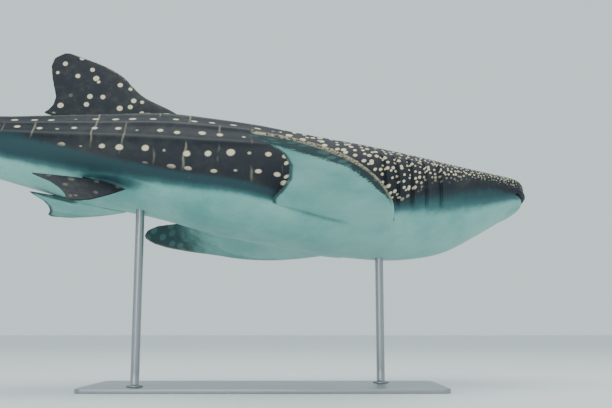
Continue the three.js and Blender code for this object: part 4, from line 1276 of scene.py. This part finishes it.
def skin_colour(board, position):
    """Colour and spot mask of the body's skin, with its painted shade and painted highlights."""
    cloud = board.noise(position, 1.6, 5.0, 0.62)
    mottle = board.noise(position, 16.0, 4.0, 0.65)
    speck = board.noise(position, 70.0, 2.0, 0.5)
    shift = (mottle - 0.5) * 0.55 + (speck - 0.5) * 0.25
    dark = board.ramp(board.mark("dark") + shift, 0.22, 0.80)
    # Dusky belt: partly the flank's colour, partly painted shade where the flank faces sideways and
    # down.
    dusk_and_shade = board.ramp(board.mark("dusk_and_shade") + (mottle - 0.5) * 0.25, 0.05, 1.0)
    belly = board.mix(board.ramp(cloud, 0.35, 0.7), BELLY, BELLY_SHADE)
    flank = board.mix(board.ramp(dusk_and_shade, 0.0, 0.6), belly, FLANK)
    flank = board.mix(board.ramp(dusk_and_shade, 0.5, 1.0) * 0.85, flank, FLANK_DEEP)
    back = board.mix(board.ramp(cloud + (mottle - 0.5) * 0.5, 0.45, 0.80), BACK, BACK_BROWN)
    plain = board.mix(dark, flank, back)
    front = board.ramp(board.mark("front") + (mottle - 0.5) * 0.3, 0.45, 0.55)
    pattern = crowded_spots(board, position) * front + spot_rows(board, position) * (1 - front)
    spots = pattern * board.mark("spotty") * board.ramp(board.mark("dark"), 0.25, 0.75)
    faded = spots * (SPOT_STRENGTH + (1 - SPOT_STRENGTH) * board.noise(position, 5.0, 2.0))
    dots, chance = board.cells(board.uv("dense"), 1.3, 1.0)
    pores = (1 - board.ramp(dots, 0.03, 0.09)) * board.ramp(chance[0], 0.78, 0.84)
    speckled = board.mix(pores * (1 - dark) * PORE_STRENGTH, plain, FLANK)
    # Painted highlight: a pale line along each ridge crest, on the dark skin.
    ridge_highlit = board.mix(board.mark("crest") * dark * CREST_HIGHLIGHT_STRENGTH, speckled, RIDGE_HIGHLIGHT)
    return board.mix(faded, ridge_highlit, CREAM), spots


def skin_rough(board, position):
    """Satin, in patches of slightly different dullness."""
    return 0.50 + 0.16 * board.noise(position, 7.0, 3.0)


def skin_height(board, position, spots):
    """Fine creases and low swellings for the bump."""
    creases = board.noise(position, 140.0, 3.0, 0.6) * 0.5
    return creases + board.noise(position, 9.0, 3.0) * 1.6 + spots * 0.12


def body_material():
    """Skin of the body and the head, with painted shade in the slits and hollows."""
    board = Board("shark_skin")
    position = board.place()
    colour, spots = skin_colour(board, position)
    # Painted shade darkens the mouth slit, the gill slits, the pits and the eye sockets.
    colour = board.mix(board.ramp(board.mark("hollow_shade"), 0.30, 0.85), colour, SHADE_IN_HOLLOWS)
    return board.finish(colour, skin_rough(board, position),
                        skin_height(board, position, spots), 0.0035, gloss=SKIN_GLOSS)


skin_body = body_material()

# %% [markdown]
# The fins wear the body's skin at the root, so the skirt doesn't show, and their
# own further out. The dorsal and tail fins are dark on both faces with scattered
# cream spots. The paired fins are dark and spotted above and pale below, with a
# dusky mottled band behind the leading edge and at the tip. Most fins also get a
# thin tan painted highlight along the leading edge.

# %% Faces of a fin
# Tan of the painted highlight along a fin's leading edge.
TAN_EDGE_GLINT = paint(186, 170, 140)
DUSK, DUSK_DEEP = paint(25, 44, 52), paint(16, 28, 35)
FIN_CELLS, FIN_BLUR = (9.5, 0.8, 0.11, 0.09), 0.04
EDGE_DUSK, BLOTCH_PALE = 0.85, 0.18


def fin_spots(board, mottle):
    """Distance to the nearest cell's point, and spots round most of these points."""
    scale, stray, least, extra = FIN_CELLS
    distance, chance = board.cells(board.uv("fin"), scale, stray)
    radius = least + extra * chance[0]
    off = board.ramp(distance + (mottle - 0.5) * 0.10, radius - FIN_BLUR, radius + FIN_BLUR)
    return distance, (1 - off) * board.ramp(chance[1], 0.16, 0.20)


def dark_face(board, mottle, spots, strength):
    """The back's colours, and cream spots that stop short of the edges."""
    dark = board.mix(board.ramp(mottle, 0.42, 0.80), BACK, BACK_BROWN)
    off_lead = board.ramp(board.mark("lead"), 0.012, 0.040)
    off_rim = board.ramp(board.mark("rim"), 0.010, 0.035)
    return board.mix(spots * off_lead * off_rim * strength, dark, CREAM)


def pale_face(board, position, mottle, fine, distance, tip_from, tip_strength, band_strength):
    """The belly's colours under three dusky parts: front band, tip and rear edge."""
    lead, rim, span = board.mark("lead"), board.mark("rim"), board.mark("span")
    pale = board.mix(board.ramp(board.noise(position, 2.2, 4.0), 0.35, 0.7), BELLY, BELLY_SHADE)
    fringe = board.mark("band") + (mottle - 0.5) * 0.9 + (fine - 0.5) * 1.2
    band = (1 - board.ramp(fringe, 0.80, 1.15)) * board.ramp(span, 0.08, 0.24) * band_strength
    tip = board.ramp(span + (mottle - 0.5) * 0.22, tip_from, tip_from + 0.30) * tip_strength
    edge = 1 - board.ramp(rim + (fine - 0.5) * 0.008, 0.012, 0.030)
    edge = edge * board.ramp(span, 0.002, 0.016) * EDGE_DUSK
    cover = board.math("MAXIMUM", band, board.math("MAXIMUM", tip, edge))
    blotch = 1 - board.ramp(distance, 0.16, 0.34)
    dusky = board.mix(board.ramp(lead, 0.02, 0.07), DUSK_DEEP, DUSK)
    return board.mix(cover * (1 - blotch * BLOTCH_PALE), pale, dusky)


print("fin spots are up to", round(2 * sum(FIN_CELLS[2:]) / FIN_CELLS[0], 3), "m across")

# %% [markdown]
# All fins share one material with a few numbers of its own for each kind. Near the
# root it is the body's skin, by the same function, and the mark "away" carries it
# over into the fin's own faces.

# %% Fin materials
def fin_material(name, spot_strength, edge_glint_strength, pale=None):
    """Skin of a fin, dark on both faces unless pale is given.

    pale is where along the span the underside's tip darkens, how much it does,
    and how dark the band behind the leading edge is.
    """
    board = Board(name)
    position = board.place()
    body, body_spots = skin_colour(board, position)
    mottle = board.noise(position, 16.0, 4.0, 0.65)
    fine = board.noise(position, 60.0, 3.0, 0.6)
    distance, spots = fin_spots(board, mottle)
    face = dark_face(board, mottle, spots, spot_strength)
    if pale:
        under = pale_face(board, position, mottle, fine, distance, *pale)
        face = board.mix(board.ramp(board.mark("upper"), 0.45, 0.55), under, face)
    span = board.mark("span")
    # Painted highlight: a tan strip along the leading edge, wider towards the tip, broken by noise.
    strip = 0.014 + 0.030 * board.ramp(span, 0.45, 0.80)
    edge_glint = 1 - board.ramp(board.mark("lead") + (fine - 0.5) * 0.020, strip * 0.4, strip)
    edge_glint = edge_glint * board.ramp(fine, 0.40, 0.54) * board.ramp(span, 0.08, 0.24)
    face = board.mix(edge_glint * edge_glint_strength, face, TAN_EDGE_GLINT)
    colour = board.mix(board.mark("away"), body, face)
    ribs = board.noise(board.vector(board.parts(board.uv("fin"))[0], 0.0), 90.0, 2.0) * 0.35
    return board.finish(colour, skin_rough(board, position),
                        skin_height(board, position, body_spots) + ribs, 0.003, gloss=SKIN_GLOSS)


fin_back = fin_material("fin_dark", 0.88, 0.30)
fin_right = fin_material("pectoral_right", 0.80, 0.85, pale=(0.72, 0.95, 0.95))
fin_left = fin_material("pectoral_left", 0.80, 0.25, pale=(0.56, 0.90, 0.30))
fin_low = fin_material("pelvic", 0.12, 0.0, pale=(0.90, 0.60, 0.20))

# %% [markdown]
# The eye is painted by the angle from its front: black pupil, a bronze iris with
# a pale rim, then dark. A clear coat gives the wet glint. The steel is brushed
# along the plate, so its noise is stretched that way, with a few duller patches
# where hands and cloths have passed.

# %% Eye and steel materials
# In degrees from the front of the eye: where the iris, its pale rim and the dark ball begin.
IRIS_FROM, RIM_FROM, RIM_TO, BALL_FROM = (17.0, 19.5), (27.0, 30.0), (31.0, 35.0), (29.0, 33.0)


def eye_material():
    """Pupil, iris and dark ball by polar angle."""
    board = Board("eye_wet")
    position = board.place()
    polar = board.mark("polar") + (board.noise(position, 500.0, 2.0) - 0.5) * 2.0
    iris = board.mix(board.noise(position, 700.0, 3.0), paint(44, 38, 30), paint(98, 88, 68))
    rim = board.ramp(polar, *RIM_FROM) * (1 - board.ramp(polar, *RIM_TO))
    colour = board.mix(board.ramp(polar, *IRIS_FROM), paint(6, 6, 8), iris)
    colour = board.mix(board.ramp(polar, *BALL_FROM), colour, paint(24, 26, 28))
    colour = board.mix(rim * 0.7, colour, paint(176, 170, 150))
    film = board.noise(position, 300.0)
    return board.finish(colour, 0.12 + 0.05 * film, film, 0.0002, coat=1.0, strength=0.1)


def steel_material(name, stretch):
    """Brushed steel: fine noise stretched along the grain."""
    board = Board(name)
    position = board.place()
    grain_at = board.node("ShaderNodeMapping", None, {"Vector": position, "Scale": stretch})
    grain = board.noise(grain_at, 260.0, 3.0, 0.7)
    patch = board.noise(position, 3.5, 4.0)
    colour = board.mix(grain, paint(138, 142, 146), paint(176, 180, 184))
    return board.finish(colour, 0.26 + 0.14 * grain + 0.10 * patch, grain, 0.0002,
                        strength=0.15, metal=1.0)


eye_wet = eye_material()
steel_plate = steel_material("steel_plate", (0.05, 1.0, 1.0))
steel_rod = steel_material("steel_rod", (1.0, 1.0, 0.05))

# %% [markdown]
# Every piece now gets its material and takes the place of the solids that it
# covers. All of them ride on the one body, because the animal and its stand are
# one still model.

# %% Dress every piece
dressed = [
    (head_skin, skin_body, "skin_head", ["head"]),
    (body_skin, skin_body, "skin_body", ["gill_region", "trunk", "tail_stalk"]),
    (tail_skin, fin_back, "skin_back_fin", ["caudal_fin_upper", "caudal_fin_lower"])]
dressed += [(piece, eye_wet, "eye", [node]) for node, piece in eyes.items()]
dressed += [(piece, steel_plate if node == "stand_base" else steel_rod, "stand_steel", [node])
            for node, piece in stand.items()]
FIN_LOOKS = {
    "pectoral_fin_right": fin_right, "pectoral_fin_left": fin_left,
    "pelvic_fin_right": fin_low, "pelvic_fin_left": fin_low, "anal_fin": fin_low,
    "first_dorsal_fin": fin_back, "second_dorsal_fin": fin_back}
for node, piece in fin_skins.items():
    look = FIN_LOOKS[node]
    dressed.append((piece, look, "skin_back_fin" if look is fin_back else "skin_fin", [node]))
for piece, material, slot, nodes in dressed:
    piece.data.materials.append(material)
    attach(piece, "root")
    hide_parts(*nodes)
print(len(dressed), "pieces dressed")

# %% [markdown]
# The floor is plain and pale and runs to the horizon under a pale sky. One large
# soft light hangs over the back and a second one stands on the near side, while
# the sky fills the belly.

# %% Floor and lights
FLOOR_HALF = 60.0
SKY, SKY_STRENGTH = paint(214, 228, 232), 1.15
LIT_POINT = (0.0, 0.0, 1.4)


def floor_material():
    """Pale matte floor with a faint unevenness."""
    board = Board("floor_pale")
    tone = board.noise(board.place(), 0.8, 3.0)
    colour = board.mix(tone, paint(222, 226, 227), paint(230, 233, 233))
    return board.finish(colour, 0.8, tone, 0.001, strength=0.05)


floor_mesh = bpy.data.meshes.new("floor")
corners = [(x * FLOOR_HALF, y * FLOOR_HALF, 0) for x, y in ((-1, -1), (1, -1), (1, 1), (-1, 1))]
floor_mesh.from_pydata(corners, [], [(0, 1, 2, 3)])
floor_mesh.materials.append(floor_material())
floor = bpy.data.objects.new("floor", floor_mesh)
bpy.context.scene.collection.objects.link(floor)

world = bpy.data.worlds.new("studio")
world.use_nodes = True
world.node_tree.nodes["Background"].inputs["Color"].default_value = SKY
world.node_tree.nodes["Background"].inputs["Strength"].default_value = SKY_STRENGTH
bpy.context.scene.world = world


def soft_light(name, at, size, power, colour):
    """Square area light turned to the lit point."""
    data = bpy.data.lights.new(name, "AREA")
    data.size, data.energy, data.color = size, power, colour
    lamp = bpy.data.objects.new(name, data)
    lamp.visible_camera = False
    lamp.location = at
    lamp.rotation_euler = (Vector(LIT_POINT) - Vector(at)).to_track_quat("-Z", "Y").to_euler()
    bpy.context.scene.collection.objects.link(lamp)
    print(f"{name}: {power} W, {size} m")


soft_light("overhead", (0.8, -1.2, 9.0), 9.0, 560.0, (1.0, 0.99, 0.96))
soft_light("near_side", (-3.0, -12.0, 4.5), 7.0, 420.0, (0.97, 1.0, 1.0))

# %% [markdown]
# The camera keeps the photograph's viewing angle, a little below the animal and
# looking up at it. Its focal length was worked out in pixels of a frame 612
# pixels wide, and a lens is given in millimetres of a sensor 36 mm wide.

# %% Camera
SENSOR, FRAME_WIDTH, FOCAL_PIXELS = 36.0, 612.0, 797.0
CAMERA_CLIMB = 9.0
CAMERA_FROM_AXIS = np.array([1.031, -5.594, -1.0873])
camera_data = bpy.data.cameras.new("camera")
camera_data.sensor_width = SENSOR
camera_data.lens = SENSOR * FOCAL_PIXELS / FRAME_WIDTH
camera = bpy.data.objects.new("camera", camera_data)
camera.location = AXIS_AT + CAMERA_FROM_AXIS
camera.rotation_euler = (np.radians(90 + CAMERA_CLIMB), 0, 0)
bpy.context.scene.collection.objects.link(camera)
bpy.context.scene.camera = camera
print("camera at", np.round(AXIS_AT + CAMERA_FROM_AXIS, 2))
